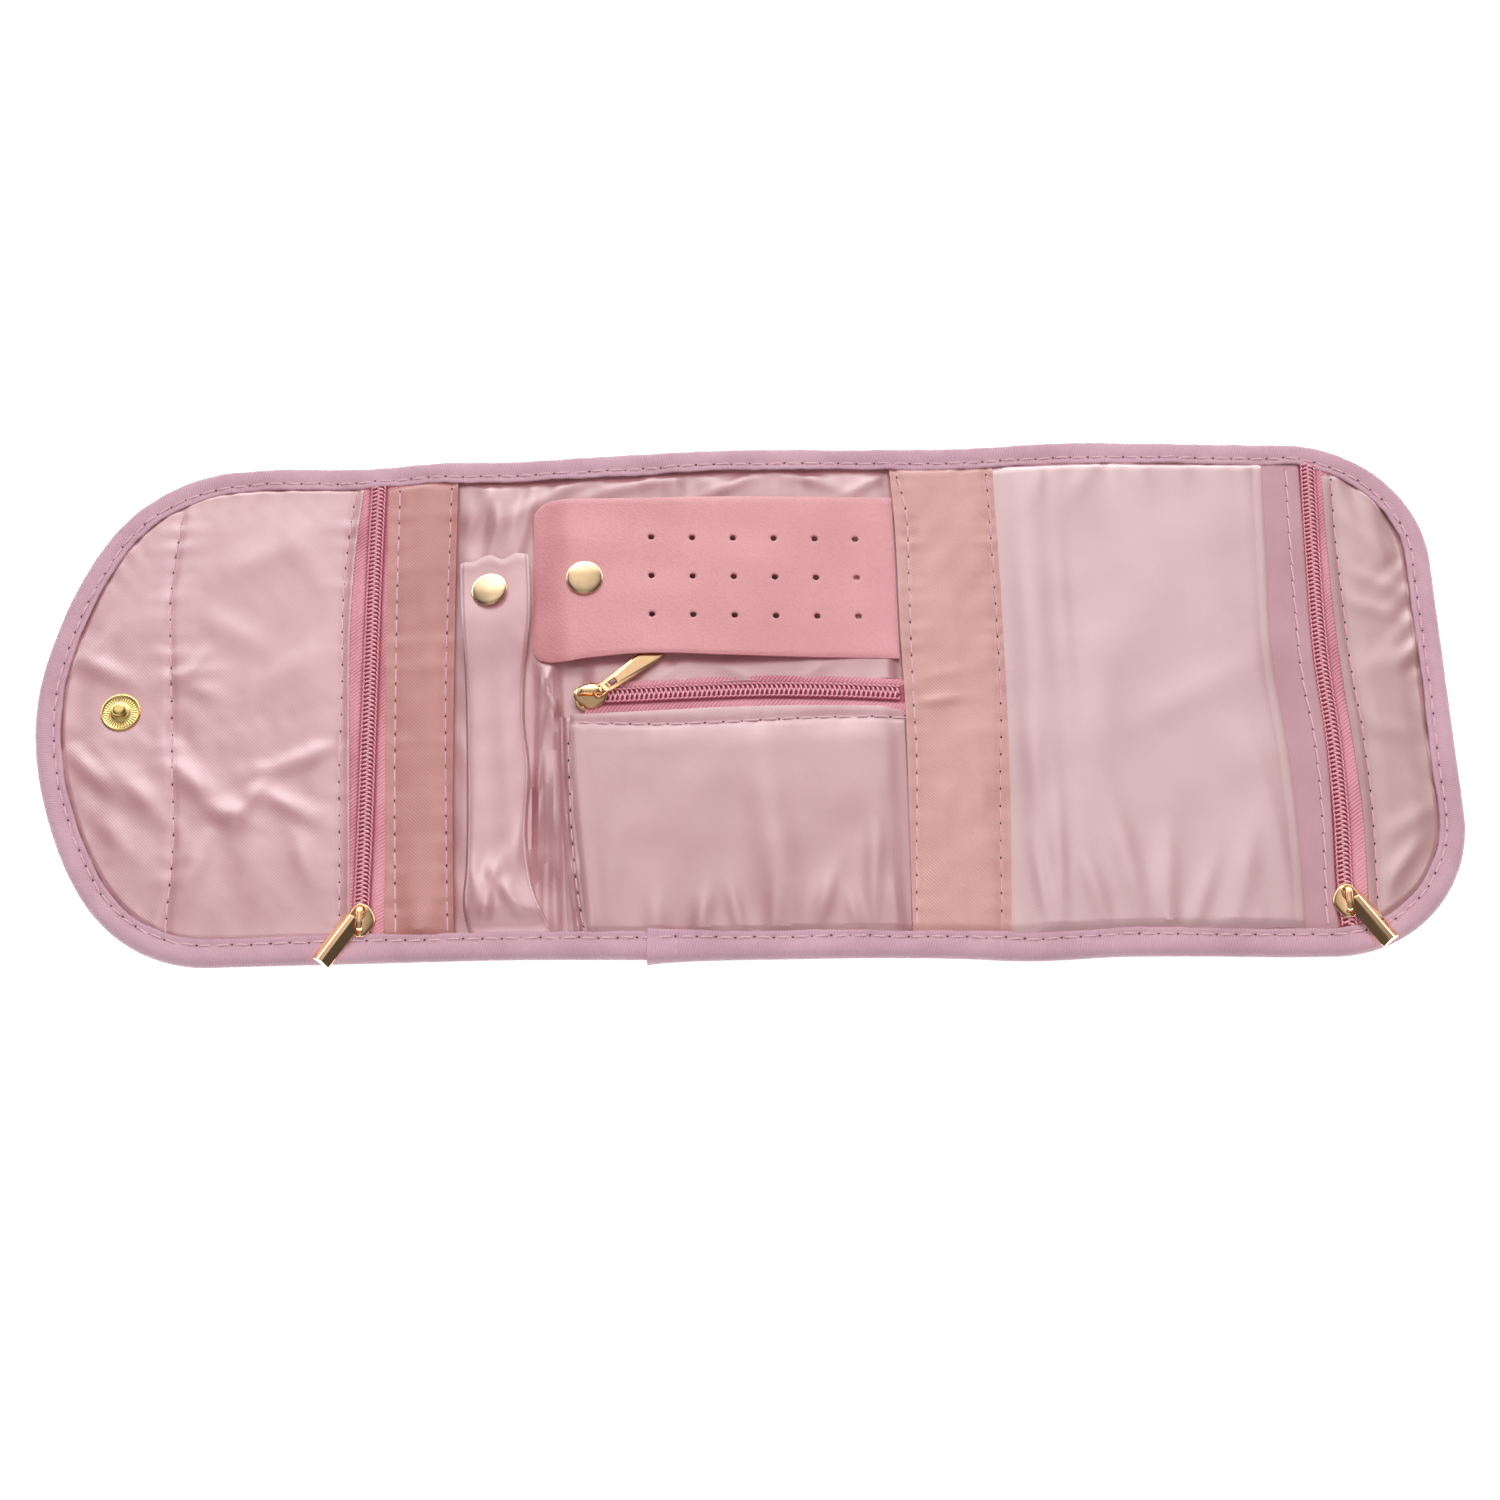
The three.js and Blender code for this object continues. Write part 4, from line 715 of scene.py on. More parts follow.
def stitches(name, centres, along, place, material=THREAD, slot="satin", length=STITCH_LENGTH, seed=1,
             slant=0.0):
    """Threads of seeded, slightly uneven length and turn, each a spindle that arches up from two needle
    holes. A thread's ring at t from -1 to 1 lies t * length / 2 along from the centre, its radius is
    r (1 - t^8)^0.5 and its height falls by t^6 into the cloth. A hole is a flat bead of radius
    r (1 - t^2)^0.5 in the thread's dark colour: painted shade in the needle hole."""
    chance = np.random.default_rng(seed)
    count = len(centres)
    turn = np.arange(RING_SIDES) * 2 * np.pi / RING_SIDES
    up = np.array([0, 0, 1.0])
    along = along + chance.normal(0, 0.05, along.shape) * np.array([1, 1, 0])
    along = along / np.linalg.norm(along, axis=1)[:, None]
    across = np.cross(up, along)
    across = across / np.linalg.norm(across, axis=1)[:, None]
    along = along + slant * across

    def beads(centre, reach, radius, height):
        """Rings round each stitch: `reach` along it, of that radius across, at the given heights."""
        return (centre[:, None, None, :] + reach[:, :, None, None] * along[:, None, None, :]
                + (radius[:, None] * np.cos(turn))[None, :, :, None] * across[:, None, None, :]
                + height[None, :, :, None] * up)

    t = THREAD_RINGS
    radius = THREAD_RADIUS * np.sqrt(np.maximum(1 - t**8, 0))
    long = length / 2 * chance.uniform(0.88, 1.06, count)
    lift = (THREAD_RADIUS * 0.9 - 0.5 * t**6)[:, None]
    threads = beads(centres, long[:, None] * t, radius, lift + radius[:, None] * np.sin(turn))
    wide = NEEDLE_HOLE_RADIUS * np.sqrt(np.maximum(1 - HOLE_RINGS**2, 0))
    holes = beads(centres + along * STITCH_PITCH / 2, (NEEDLE_HOLE_HALF * HOLE_RINGS)[None], wide,
                  0.1 + 0.4 * wide[:, None] * np.sin(turn))

    # Across a thread V tells one stitch from the next, and a hole's U of 0 gives it the dark colour of
    # painted shade
    turned = np.arange(count)[:, None, None] + turn[None, None, :] / 6.3
    points, quads, uv, start = [], [], [], 0
    for shape, u in ((threads, (t + 1) / 2), (holes, 0 * HOLE_RINGS)):
        rings = len(u)
        size = rings * RING_SIDES
        faces = grid_faces(rings, RING_SIDES, around_columns=True)
        quads.append((faces[None] + start + (np.arange(count) * size)[:, None, None]).reshape(-1, 4))
        points.append(shape.reshape(-1, 3))
        uv.append(np.stack(np.broadcast_arrays(u[None, :, None], turned), -1).reshape(-1, 2))
        start += count * size
    piece = make(name, np.concatenate(points), np.concatenate(quads), material, slot, uv=np.concatenate(uv))
    return follow(piece, place)


def row(name, knots, height, place, **options):
    """A row of stitches along knots given in the square outline, on a cloth of that height function."""
    at = spaced(knots)
    ahead, behind = at + np.gradient(at, axis=0) / 2, at - np.gradient(at, axis=0) / 2

    def on_cloth(p):
        xs, ys = sewn(p[:, 0], p[:, 1])
        return np.stack([xs, ys, height(p[:, 0], p[:, 1])], 1)

    return stitches(name, on_cloth(at), on_cloth(ahead) - on_cloth(behind), place, **options)


# Bias binding

def outline():
    """The sewn edge once round, to the right in front and back to the left behind, in stretches of which
    some are named. Gives the points, their inward directions, the square outline's x and y, the running
    length, and the number at which each named stretch starts."""
    front, back = -HALF_DEPTH, HALF_DEPTH
    low, high = -(HALF_DEPTH - CORNER), HALF_DEPTH - CORNER
    stretches = []

    def straight(name, x0, x1, y):
        count = int(abs(x1 - x0) / 0.8) + 2
        stretches.append((name, np.linspace(x0, x1, count), np.full(count, float(y))))

    def arc(cx, cy, a, b, start, end, count):
        turn = np.linspace(start, end, count)
        stretches.append(("", cx + a * np.cos(turn), cy + b * np.sin(turn)))

    straight("right_front", CENTER_SEAM, RIGHT_SEAM, front)
    straight("panel", RIGHT_SEAM, CORNER_CENTRE, front)
    arc(CORNER_CENTRE, low, CORNER, CORNER, -np.pi / 2, 0, 72)
    stretches.append(("", np.full(90, float(RIGHT_END)), np.linspace(low, high, 90)))
    arc(CORNER_CENTRE, high, CORNER, CORNER, 0, np.pi / 2, 72)
    straight("", CORNER_CENTRE, RIGHT_SEAM, back)
    straight("right_back", RIGHT_SEAM, CENTER_SEAM, back)
    straight("left_back", CENTER_SEAM, LEFT_SEAM, back)
    straight("flap", LEFT_SEAM, FLAP_CENTRE, back)
    arc(FLAP_CENTRE, 0, FLAP_ROUND, HALF_DEPTH, np.pi / 2, 3 * np.pi / 2, 240)
    straight("", FLAP_CENTRE, LEFT_SEAM, front)
    straight("left_front", LEFT_SEAM, BINDING_JOINT - JOINT_GAP, front)
    straight("", BINDING_JOINT + JOINT_GAP, CENTER_SEAM, front)
    x, y, starts, total = [], [], {}, 0
    for name, xs, ys in stretches:
        if name:
            starts[name] = total
        # A stretch's last point is the next one's first, but for the two sides of the binding's joint
        end = None if abs(xs[-1] - (BINDING_JOINT - JOINT_GAP)) < 1e-6 else -1
        x.append(xs[:end])
        y.append(ys[:end])
        total += len(x[-1])
    x, y = np.concatenate(x), np.concatenate(y)
    points = np.stack(sewn(x, y), 1)
    tangent = np.roll(points, -2, 0) - np.roll(points, 2, 0)
    tangent /= np.linalg.norm(tangent, axis=1)[:, None]
    inward = np.stack([-tangent[:, 1], tangent[:, 0]], 1)
    step = np.linalg.norm(np.roll(points, -1, 0) - points, axis=1)
    along = np.concatenate([[0], np.cumsum(step)[:-1]])
    return points, inward, x, y, along, starts


EDGE, INWARD, EDGE_X, EDGE_Y, EDGE_ALONG, EDGE_STARTS = outline()
EDGE_COUNT = len(EDGE)
EDGE_LENGTH = EDGE_ALONG[-1]

# The folded strip's section: (distance in from the edge, height), over the top, round the rim and underneath
SECTION = np.array([
    (7.0, 4.70), (6.85, 5.0), (6.35, 5.16), (5.75, 5.02), (5.2, 4.82), (4.65, 5.02), (3.7, 5.34), (2.4, 5.36),
    (1.2, 4.98), (0.35, 4.1), (0.0, 2.9), (0.1, 1.7), (0.7, 0.62), (1.8, 0.08), (3.2, 0.0), (4.6, 0.12),
    (5.2, 0.3), (5.9, 0.1), (6.7, 0.05), (7.0, 0.35), (6.9, 0.62), (5.2, 0.85), (2.4, 0.85), (1.2, 1.6),
    (0.9, 2.8), (1.3, 3.9), (2.4, 4.5), (5.2, 4.35), (6.9, 4.5),
])


def rounder(section):
    """A closed section with a smooth point between each two: (9 (b + c) - (a + d)) / 16 of its neighbours."""
    a, b, c, d = (np.roll(section, k, 0) for k in (1, 0, -1, -2))
    middle = (9 * (b + c) - (a + d)) / 16
    return np.stack([section, middle], 1).reshape(-1, 2)


def binding_surface(index):
    """Points of the binding over the given places of the edge: the section, with its width and height a
    little uneven, drawn down at each stitch, swollen over the zips' ends and doubled past the strip's
    joint."""
    section = rounder(SECTION)
    n, z = section[None, :, 0], section[None, :, 1]
    s, ex, ey = EDGE_ALONG[index][:, None], EDGE_X[index][:, None], EDGE_Y[index][:, None]
    loop = 2 * np.pi * s / EDGE_LENGTH
    stitch = 2 * np.pi * s / STITCH_PITCH
    inner = ease((n - 2) / 5)
    upper = ease((z - 2) / 2)
    wide = 0.16 * np.sin(9 * loop + 1) + 0.12 * np.sin(23 * loop + 2) + 0.08 * np.sin(61 * loop)
    drawn = hump(n - STITCH_INSET, 1.0, 1.0) * (0.10 + 0.07 * np.cos(stitch))
    lip = inner * (0.09 * np.sin(stitch + 1) + 0.10 * ripple(s, 0 * s, 11, 21))
    skin = 0.07 * ripple(s, 0.8 * n, 4.0, 22) + 0.09 * ripple(s, 0.5 * n, 17.0, 23)
    zips = hump(ex - FLAP_ZIP_LINE, 1.0, 3.4) + hump(ex - PANEL_ZIP_LINE, 1.0, 3.4)
    joint = (ex > BINDING_JOINT) * (ey < 0) * np.exp(-np.maximum(ex - BINDING_JOINT, 0) / 9)
    joint = joint * (ex < CENTER_SEAM + 60)
    height = z + upper * (lip + skin - drawn) + (1 - upper) * (drawn * 0.6) * (z < 1.5)
    height = height + upper * zips * 0.75 * ease((n - 3.2) / 3)
    height = height + joint * 0.8 * upper
    reach = n + inner * wide
    reach = reach - joint * 1.4 * (1 - inner) + joint * 0.5 * inner
    flat = EDGE[index][:, None, :] + INWARD[index][:, None, :] * reach[:, :, None]
    return np.concatenate([flat, height[:, :, None]], 2), s, section


BINDING_PIECES = (
    ("flap", "left_front", "flap_fold",
     ("flap_binding", "left_spine_binding_back", "left_spine_binding_front")),
    ("left_front", None, "left_fold", ("center_binding_front",)),
    ("right_front", "panel", "right_fold", ("right_spine_binding_front",)),
    ("panel", "right_back", "panel_fold", ("right_panel_binding",)),
    ("right_back", "left_back", "right_fold", ("right_spine_binding_back",)),
    ("left_back", "flap", "left_fold", ("center_binding_back",)),
)


def binding():
    """The bias strip and its stitches, above and below, in six stretches, each placed at one fold."""
    for start, end, fold, nodes in BINDING_PIECES:
        last = EDGE_STARTS[end] if end else EDGE_COUNT
        index = np.arange(EDGE_STARTS[start], last + 1) % EDGE_COUNT
        points, s, section = binding_surface(index)
        rows, columns = points.shape[:2]
        around = np.cumsum(np.linalg.norm(np.diff(section, axis=0, append=section[:1]), axis=1))
        place = np.where(index[:, None] < index[0], s + EDGE_LENGTH, s)
        uv = np.stack(np.broadcast_arrays(place, around[None, :]), -1).reshape(-1, 2) / UV_UNIT
        quads = [grid_faces(rows, columns, around_columns=True)]
        for first in (0, (rows - 1) * columns):
            ring = first + np.arange(columns)
            outer, inner = ring[:columns // 2], ring[::-1][:columns // 2]
            quads.append(np.stack([outer[:-1], outer[1:], inner[1:], inner[:-1]], 1))
        piece = make(f"binding_{start}", points.reshape(-1, 3), np.concatenate(quads), BINDING,
                     "binding_twill", uv=uv)
        follow(piece, fold)
        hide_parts(*nodes)
        binding_stitches(f"binding_stitches_{start}", index, fold)


def binding_stitches(name, index, fold):
    """Threads on the binding's upper and lower side, at whole pitches of the running length of the edge."""
    s = EDGE_ALONG[index]
    s = np.where(index < index[0], s + EDGE_LENGTH, s)
    first = np.ceil(s[0] / STITCH_PITCH + 0.5)
    wanted = (np.arange(first, s[-1] / STITCH_PITCH + 0.5) - 0.5) * STITCH_PITCH
    wanted = wanted[(wanted > s[0]) & (wanted < s[-1])]
    into = np.stack([np.interp(wanted, s, INWARD[index][:, k]) for k in (0, 1)], 1)
    surface, _, section = binding_surface(index)
    centres = []
    for height, rise in ((4.82, 0.06), (0.3, -0.12)):
        column = np.argmin(np.hypot(section[:, 0] - STITCH_INSET, section[:, 1] - height))
        at = np.stack([np.interp(wanted, s, surface[:, column, k]) for k in (0, 1, 2)], 1)
        centres.append(at + [0, 0, rise])
    line = np.stack([into[:, 1], -into[:, 0], 0 * wanted], 1)
    stitches(name, np.concatenate(centres), np.concatenate([line, line]), fold, slot="binding_twill",
             length=3.7, seed=len(name))


binding()


# Satin on the flap

FLAP_FOLDS = (
    (-173, 13, -28, 9, 2.6, 0.9), (-180, 4, 80, 8, 3.0, -0.4), (-176, 20, 60, 7, 2.4, 0.5),
    (-149, 11, 8, 7, 2.2, 0.6), (-148, 14, 52, 6, 2.0, 0.45), (-146, 6, -24, 7, 2.4, 0.5),
    (-174, -18, -44, 9, 2.6, 0.9), (-161, -25, -47, 12, 3.2, 1.1), (-168, -36, -52, 10, 3.0, 0.6),
    (-146, -22, -41, 10, 3.4, 1.2), (-137, -31.5, -18, 7, 3.0, 1.0), (-132, -28, 54, 7, 2.8, 1.1),
    (-121, -29, -29, 10, 2.8, 1.1), (-115, -14, 26, 9, 2.6, 0.9), (-127, -18, 12, 8, 2.4, 0.6),
    (-146, -49, 72, 11, 3.6, 0.9), (-130, -48, 100, 12, 4.5, 0.7), (-115, -47, -68, 11, 3.6, 0.7),
    (-139, 24, -34, 12, 4.0, 0.5), (-124, 10, 36, 12, 4.4, 0.45), (-132, 46, 24, 14, 5.0, 0.45),
    (-159, 30, 52, 12, 4.6, 0.55), (-118, 44, -58, 13, 4.6, 0.4), (-150, -8, -60, 9, 3.0, -0.5),
)
STIFFENER_LINE = ((-154.2, 68), (-154.6, 58), (-156.2, 35), (-153.7, 2), (-152.2, -23), (-151.2, -40),
                  (-151.8, -68))
ZIP_SIDE_LINE = ((-106.2, 68), (-107.6, 53), (-108.6, 33), (-108.0, 3), (-108.0, -17), (-107.2, -40),
                 (-106.3, -68))
FACING_EDGE = ((-71.0, -103.6), (-40.0, -104.5), (-8.0, -105.6), (25.0, -106.4), (48.0, -105.7),
               (71.0, -103.7))


def facing_height(x, y):
    """The flap's satin: padded, drawn in by the stiffener's stitches and the row beside the zip, flat round
    the stud, and tucked under the binding at the edge."""
    stiffener, zip_side = distance_to(STIFFENER_LINE, x, y), distance_to(ZIP_SIDE_LINE, x, y)
    by_zip = FLAP_FOLD + 10 - x
    body = 0.45 * ease((inset(x, y) - 8) / 14) + ridges(x, y, FLAP_FOLDS) + 0.07 * ripple(x, y, 22, 31)
    fine = hump(y + 18, 1.0, 32) * (0.05 * ripple(x, y, 11, 35) + 0.022 * ripple(x, y, 5, 36))
    fine = fine + 0.012 * ripple(x, y, 6, 37)
    body = (body + fine) * ease(by_zip / 14) + 0.12 * gathers(x, y, 32, 4, 9)
    dips = groove(stiffener, 0.32, 1.3) + groove(zip_side, 0.25, 1.0)
    pucker = puckers(y, [stiffener], 0.10, 5, 33, 4) + puckers(y, [zip_side], 0.08, 4, 34)
    by_stud = 1 - 0.9 * np.exp(-((distance_from(CLOSURE_STUD, x, y) / 7) ** 4))
    top = FACING_TOP + body * by_stud + dips + pucker + hump(x - through(y, FACING_EDGE))
    return top - (0.35 + 0.5 * ease(by_zip / 10)) * tucked(x, y)


def flap_facing():
    """The flap's satin facing with its folded edge by the zip, and its two rows of stitches."""
    x, y = flap_grid(4.6, 0.0, 1.0)
    x = spread(x[0], through(y, FACING_EDGE), len(x))
    cloth("flap_facing_satin", x, y, facing_height(x, y), "flap_fold", SATIN, "satin",
          ("flap_facing", "flap_zip_facing"), thick=0.42)
    row("flap_stiffener_stitches", STIFFENER_LINE, facing_height, "flap")
    row("flap_zip_stitches", ZIP_SIDE_LINE, facing_height, "left_spine")


flap_facing()


# Fold bands

LEFT_BAND_SIDES = (
    ((-71.0, -94.7), (-40.0, -95.1), (2.0, -96.2), (36.0, -96.7), (71.0, -97.1)),
    ((-71.0, -76.5), (-30.0, -77.5), (2.0, -77.8), (36.0, -77.9), (71.0, -77.7)),
)
LEFT_BAND_ROWS = (
    ((-91.7, -68), (-92.9, -30), (-93.5, 2), (-93.9, 36), (-93.9, 68)),
    ((-78.2, -68), (-79.3, -30), (-80.0, 2), (-79.9, 36), (-79.5, 68)),
)
LEFT_BAND_FOLDS = (
    (-86, 40, 92, 22, 3.0, 0.3), (-85, -8, 88, 24, 3.5, 0.28), (-84, 12, 20, 8, 3, 0.2),
    (-85, -66, 84, 14, 4.0, 1.1), (-88, -50, 70, 9, 2.6, 0.3),
)
RIGHT_BAND_SIDES = (
    ((-71.0, 42.8), (-33.0, 43.4), (-1.0, 43.8), (21.0, 43.4), (50.0, 43.4), (71.0, 42.5)),
    ((-71.0, 68.3), (-25.0, 70.6), (19.0, 71.4), (71.0, 71.4)),
)
RIGHT_BAND_ROWS = (
    ((43.9, -68), (45.0, -44), (46.1, -20), (46.1, 2), (46.5, 32), (46.8, 54), (44.4, 68)),
    ((66.0, -68), (67.5, -36), (69.5, -3), (69.9, 31), (69.6, 68)),
)
RIGHT_BAND_FOLDS = (
    (57, 20, 90, 26, 3.2, 0.4), (52, -2, 6, 9, 1.5, 0.5), (55, 6, 12, 7, 1.6, 0.25),
    (62, -30, 94, 20, 3.0, 0.35), (52, -40, 86, 22, 3.0, 0.3),
    (50, 48, 100, 14, 3.0, 0.3), (64, 45, 85, 14, 3.0, 0.25), (60, -12, 30, 8, 3.0, 0.25),
)


def band_height(sides, rows, folds, reach, rises, depth, seeds):
    """The height function of a fold band: a shallow tunnel between its two rows of stitches that takes
    `reach` to rise, with soft folds, puckers at the rows, edges that rise by `rises`, and a groove of
    `depth` at the right row."""
    def height(x, y):
        a, b = (distance_to(line, x, y) for line in rows)
        swell = 0.22 * ease(a / reach) * ease(-b / reach) + 0.04 * ripple(x, y, 11, seeds[0])
        body = swell + ridges(x, y, folds) * ease(a / 4) * ease(-b / 4) + 0.12 * gathers(x, y, seeds[1])
        pucker = puckers(y, (a, b), 0.08, 5, seeds[2])
        edges = hump(x - through(y, sides[0]), rises[0]) + hump(x - through(y, sides[1]), rises[1])
        dips = groove(a, 0.26, 0.9) + groove(b, depth, 0.9)
        return FACING_TOP + body + pucker + dips + edges - 0.55 * tucked(x, y)
    return height


def fold_band(side, sides, rows, height, material, place, row_places):
    """A fold band with its two rows of stitches."""
    y_end = HALF_DEPTH - 5.0
    x, y = between(*sides, -y_end, y_end, 0.9)
    cloth(f"{side}_band_satin", x, y, height(x, y), place, material, "band_cloth", (f"{side}_fold_band",))
    row(f"{side}_band_stitches_left", rows[0], height, row_places[0], slot="band_cloth")
    row(f"{side}_band_stitches_right", rows[1], height, row_places[1], slot="band_cloth",
        material=SHADED_THREAD)


fold_band("left", LEFT_BAND_SIDES, LEFT_BAND_ROWS,
          band_height(LEFT_BAND_SIDES, LEFT_BAND_ROWS, LEFT_BAND_FOLDS, 5, (0.15, 0.35), 0.3, (45, 41, 42)),
          LEFT_BAND, "left_fold", ("left_spine", "left_fold"))
fold_band("right", RIGHT_BAND_SIDES, RIGHT_BAND_ROWS,
          band_height(RIGHT_BAND_SIDES, RIGHT_BAND_ROWS, RIGHT_BAND_FOLDS, 6, (0.2, 0.4), 0.28, (46, 43, 44)),
          RIGHT_BAND, "right_spine", ("right_spine", "right_spine"))


# Right panel

FACE_FOLDS = (
    (80.5, 20, 90, 46, 4.6, 0.6), (88.2, 24, 90, 36, 2.0, 0.22), (77, -22, 93, 20, 3.0, 0.4),
    (95, -10, 80, 30, 6.0, 0.4), (110, 25, 65, 26, 9.0, 0.4), (121, -2, 28, 18, 5.0, 0.35),
    (128, -14, -44, 14, 5.0, 0.3), (104, -14, -32, 18, 7.0, 0.25), (130, 30, 100, 26, 7.0, 0.35),
    (100, -50, 100, 17, 3.4, 0.7), (110, -55, 84, 14, 3.0, 0.6), (119, -60, 70, 10, 2.4, 0.5),
    (91, -58, 104, 12, 2.6, 0.6), (82, -48, 88, 20, 2.4, 0.7), (77, -56, 96, 14, 1.8, 0.6),
    (130, -56, 76, 14, 3.0, 0.5), (139, -38, 98, 22, 3.0, 0.4),
    (96, 63, 60, 6, 3.0, 0.3), (112, 64, 110, 6, 3.0, 0.3), (84, 63, 75, 6, 2.0, 0.3),
)
FACE_LEFT = ((-71.0, 66.8), (-25.0, 69.2), (19.0, 69.9), (71.0, 69.9))
FACE_RIGHT = ((-71.0, 144.8), (-38.0, 145.6), (-16.0, 145.1), (6.0, 143.7), (41.0, 145.1), (71.0, 146.6))
TRIM_RIGHT = ((-71.0, 153.3), (-56.0, 153.9), (-38.0, 155.0), (-16.0, 155.9), (6.0, 155.0), (41.0, 156.0),
              (71.0, 157.0))
TRIM_STITCH = ((150.6, -68), (152.6, -38), (152.8, -16), (151.4, 6), (152.1, 41), (153.4, 68))
END_LEFT = ((-71.0, 161.4), (-56.0, 162.4), (-38.0, 163.4), (-16.0, 162.9), (6.0, 162.1), (41.0, 162.2),
            (71.0, 163.2))
END_STITCH = ((164.2, -66), (165.9, -38), (166.0, -16), (164.9, 6), (164.8, 41), (165.6, 64))
END_FOLDS = (
    (176, 30, -28, 9, 2.6, 0.6), (174, 22, -22, 9, 2.4, 0.5), (178, 8, 20, 8, 3.0, 0.4),
    (175, -14, -12, 9, 3.2, 0.4), (176, -40, 30, 9, 3.0, 0.5), (172, -52, 50, 9, 2.4, 0.6),
    (174, 44, -50, 10, 3.0, 0.4),
)


def face_height(x, y):
    """The slip pocket's satin: over the trim at its right, under the fold band at its left, gathered at the
    edge."""
    body = ridges(x, y, FACE_FOLDS) + 0.08 * ripple(x, y, 24, 51) + 0.2 * gathers(x, y, 52, 4, 7)
    to_trim = 1 - (x - through(y, FACE_RIGHT))
    rising = ease((x - 69.5) / 9)
    body = (0.3 + body) * rising * ease(to_trim / 6)
    roll = hump(to_trim - 1.5, 0.45, 0.7) + 0.25 * ease((to_trim - 1) / 3)
    return FACING_TOP - 0.5 + 0.8 * rising + body + roll - 0.85 * tucked(x, y)


def trim_height(x, y):
    """The trim tape beside the zip: flat, with a soft roll at its free side."""
    free = x - through(y, TRIM_RIGHT)
    return FACING_TOP + 0.04 * ripple(x, y, 14, 53) + hump(free + 1.0, 0.4, 0.9) - 0.5 * tucked(x, y)


def end_height(x, y):
    """The satin facing at the right end, gathered against the binding."""
    a = distance_to(END_STITCH, x, y)
    body = 0.3 * ease(a / 5) * ease((inset(x, y) - 8) / 6) + ridges(x, y, END_FOLDS) * ease(a / 4)
    body = body + 0.35 * gathers(x, y, 54, 4, 9) + 0.06 * ripple(x, y, 16, 55)
    edge = hump(x - through(y, END_LEFT), 0.12)
    return FACING_TOP + body + edge + groove(a, 0.26, 0.9) - 0.6 * tucked(x, y)


def right_panel():
    """Slip pocket, trim tape and end facing with their stitches."""
    y_end = HALF_DEPTH - PANEL_INSET
    x, y = between(FACE_LEFT, FACE_RIGHT, -y_end, y_end, 1.0)
    cloth("slip_pocket_satin", x, y, face_height(x, y), "panel_fold", SLIP_SATIN, "satin",
          ("slip_pocket_face",), thick=0.35)
    under_pocket = tuple((k[0], k[1] - 5.5) for k in FACE_RIGHT)
    x, y = between(under_pocket, TRIM_RIGHT, -y_end, y_end, 1.0)
    cloth("trim_tape_strip", x, y, trim_height(x, y) - 0.05, "right_panel", TRIM, "binding_twill",
          ("slip_pocket_trim",), thick=0.35)
    row("trim_stitches", TRIM_STITCH, trim_height, "right_panel", slot="binding_twill", length=5.6,
        slant=0.09)
    x, y = end_grid(0.0, PANEL_INSET, 1.0)
    x = spread(through(y, END_LEFT), x[-1], len(x))
    cloth("end_facing_satin", x, y, end_height(x, y), "right_panel", SHADED_END_SATIN, "satin",
          ("panel_end_facing",))
    row("end_facing_stitches", END_STITCH, end_height, "right_panel", material=SHADED_THREAD)


right_panel()


# Small pocket

POCKET_LINE_LEFT = ((-70.5, -41.6), (-52.0, -43.3), (-31.0, -45.2), (-20.0, -45.9), (-3.0, -46.4))
SIDE_STRIP_LEFT = ((-70.5, -46.8), (-52.0, -47.6), (-31.0, -48.6), (-20.0, -49.0), (-3.6, -49.4))
POCKET_TOP = ((-47.0, -3.5), (-26.0, -2.9), (-1.0, -2.2), (19.0, -2.3), (44.0, -3.3))
POCKET_STITCH = ((-45.2, -5.9), (-26, -6.8), (-11, -6.9), (9, -6.2), (29, -5.9), (42.5, -6.5))
POCKET_SIDE_STITCH = ((-47.0, -6.5), (-46.7, -20), (-45.8, -41), (-44.3, -57), (-42.6, -68))
POCKET_FOLDS = (
    (8, -46, 97, 26, 6.0, 1.3), (-14, -30, 96, 26, 9.0, 0.4), (26, -24, 80, 20, 8.0, 0.4),
    (-3, -63, 100, 8, 2.2, 0.8), (-12, -64, 80, 7, 2.2, 0.7), (7, -64, 86, 8, 2.2, 0.6),
    (20, -60, 74, 9, 2.6, 0.9), (33.5, -52, 86, 18, 2.6, 0.9), (28, -64, 100, 7, 2.0, 0.6),
    (-24, -64, 90, 7, 2.6, 0.5), (-36, -54, 86, 15, 3.4, 0.5), (39, -62, 96, 9, 2.0, 0.5),
)


def pocket_height(x, y):
    """The small pocket's satin: full in the middle, drawn at its top row of stitches, and under the fold band
    at its right."""
    top_line = y - through(x, POCKET_STITCH)
    side = ease((x + 45.5) / 5)
    rolled = hump(x - through(y, POCKET_LINE_LEFT) - 1.6, 0.35, 1.3)
    body = 0.35 * ease(-top_line / 8) + ridges(x, y, POCKET_FOLDS) * ease(-top_line / 5)
    body = body + 0.06 * ripple(x, y, 20, 61)
    body = body * side * ease((42.5 - x) / 5) + 0.3 * gathers(x, y, 62, 8, 8) * side
    pucker = puckers(x, [top_line], 0.09, 5, 63)
    top = FACING_TOP + 0.05 + body + pucker + rolled + groove(top_line, 0.3, 1.0)
    return top - 0.35 * ease((x - 38) / 5) - 0.75 * tucked(x, y)


def side_height(x, y):
    """The folded strip at the pocket's open side: a narrow rolled edge, then a deep gap beside the face."""
    beside = x - through(y, POCKET_LINE_LEFT)
    roll = hump(beside + 2.3, 0.9, 0.75) + 0.12 * ripple(x, y, 12, 64)
    return TAPE_TOP - 0.95 + roll - 0.3 * ease((8.6 - inset(x, y)) / 3)


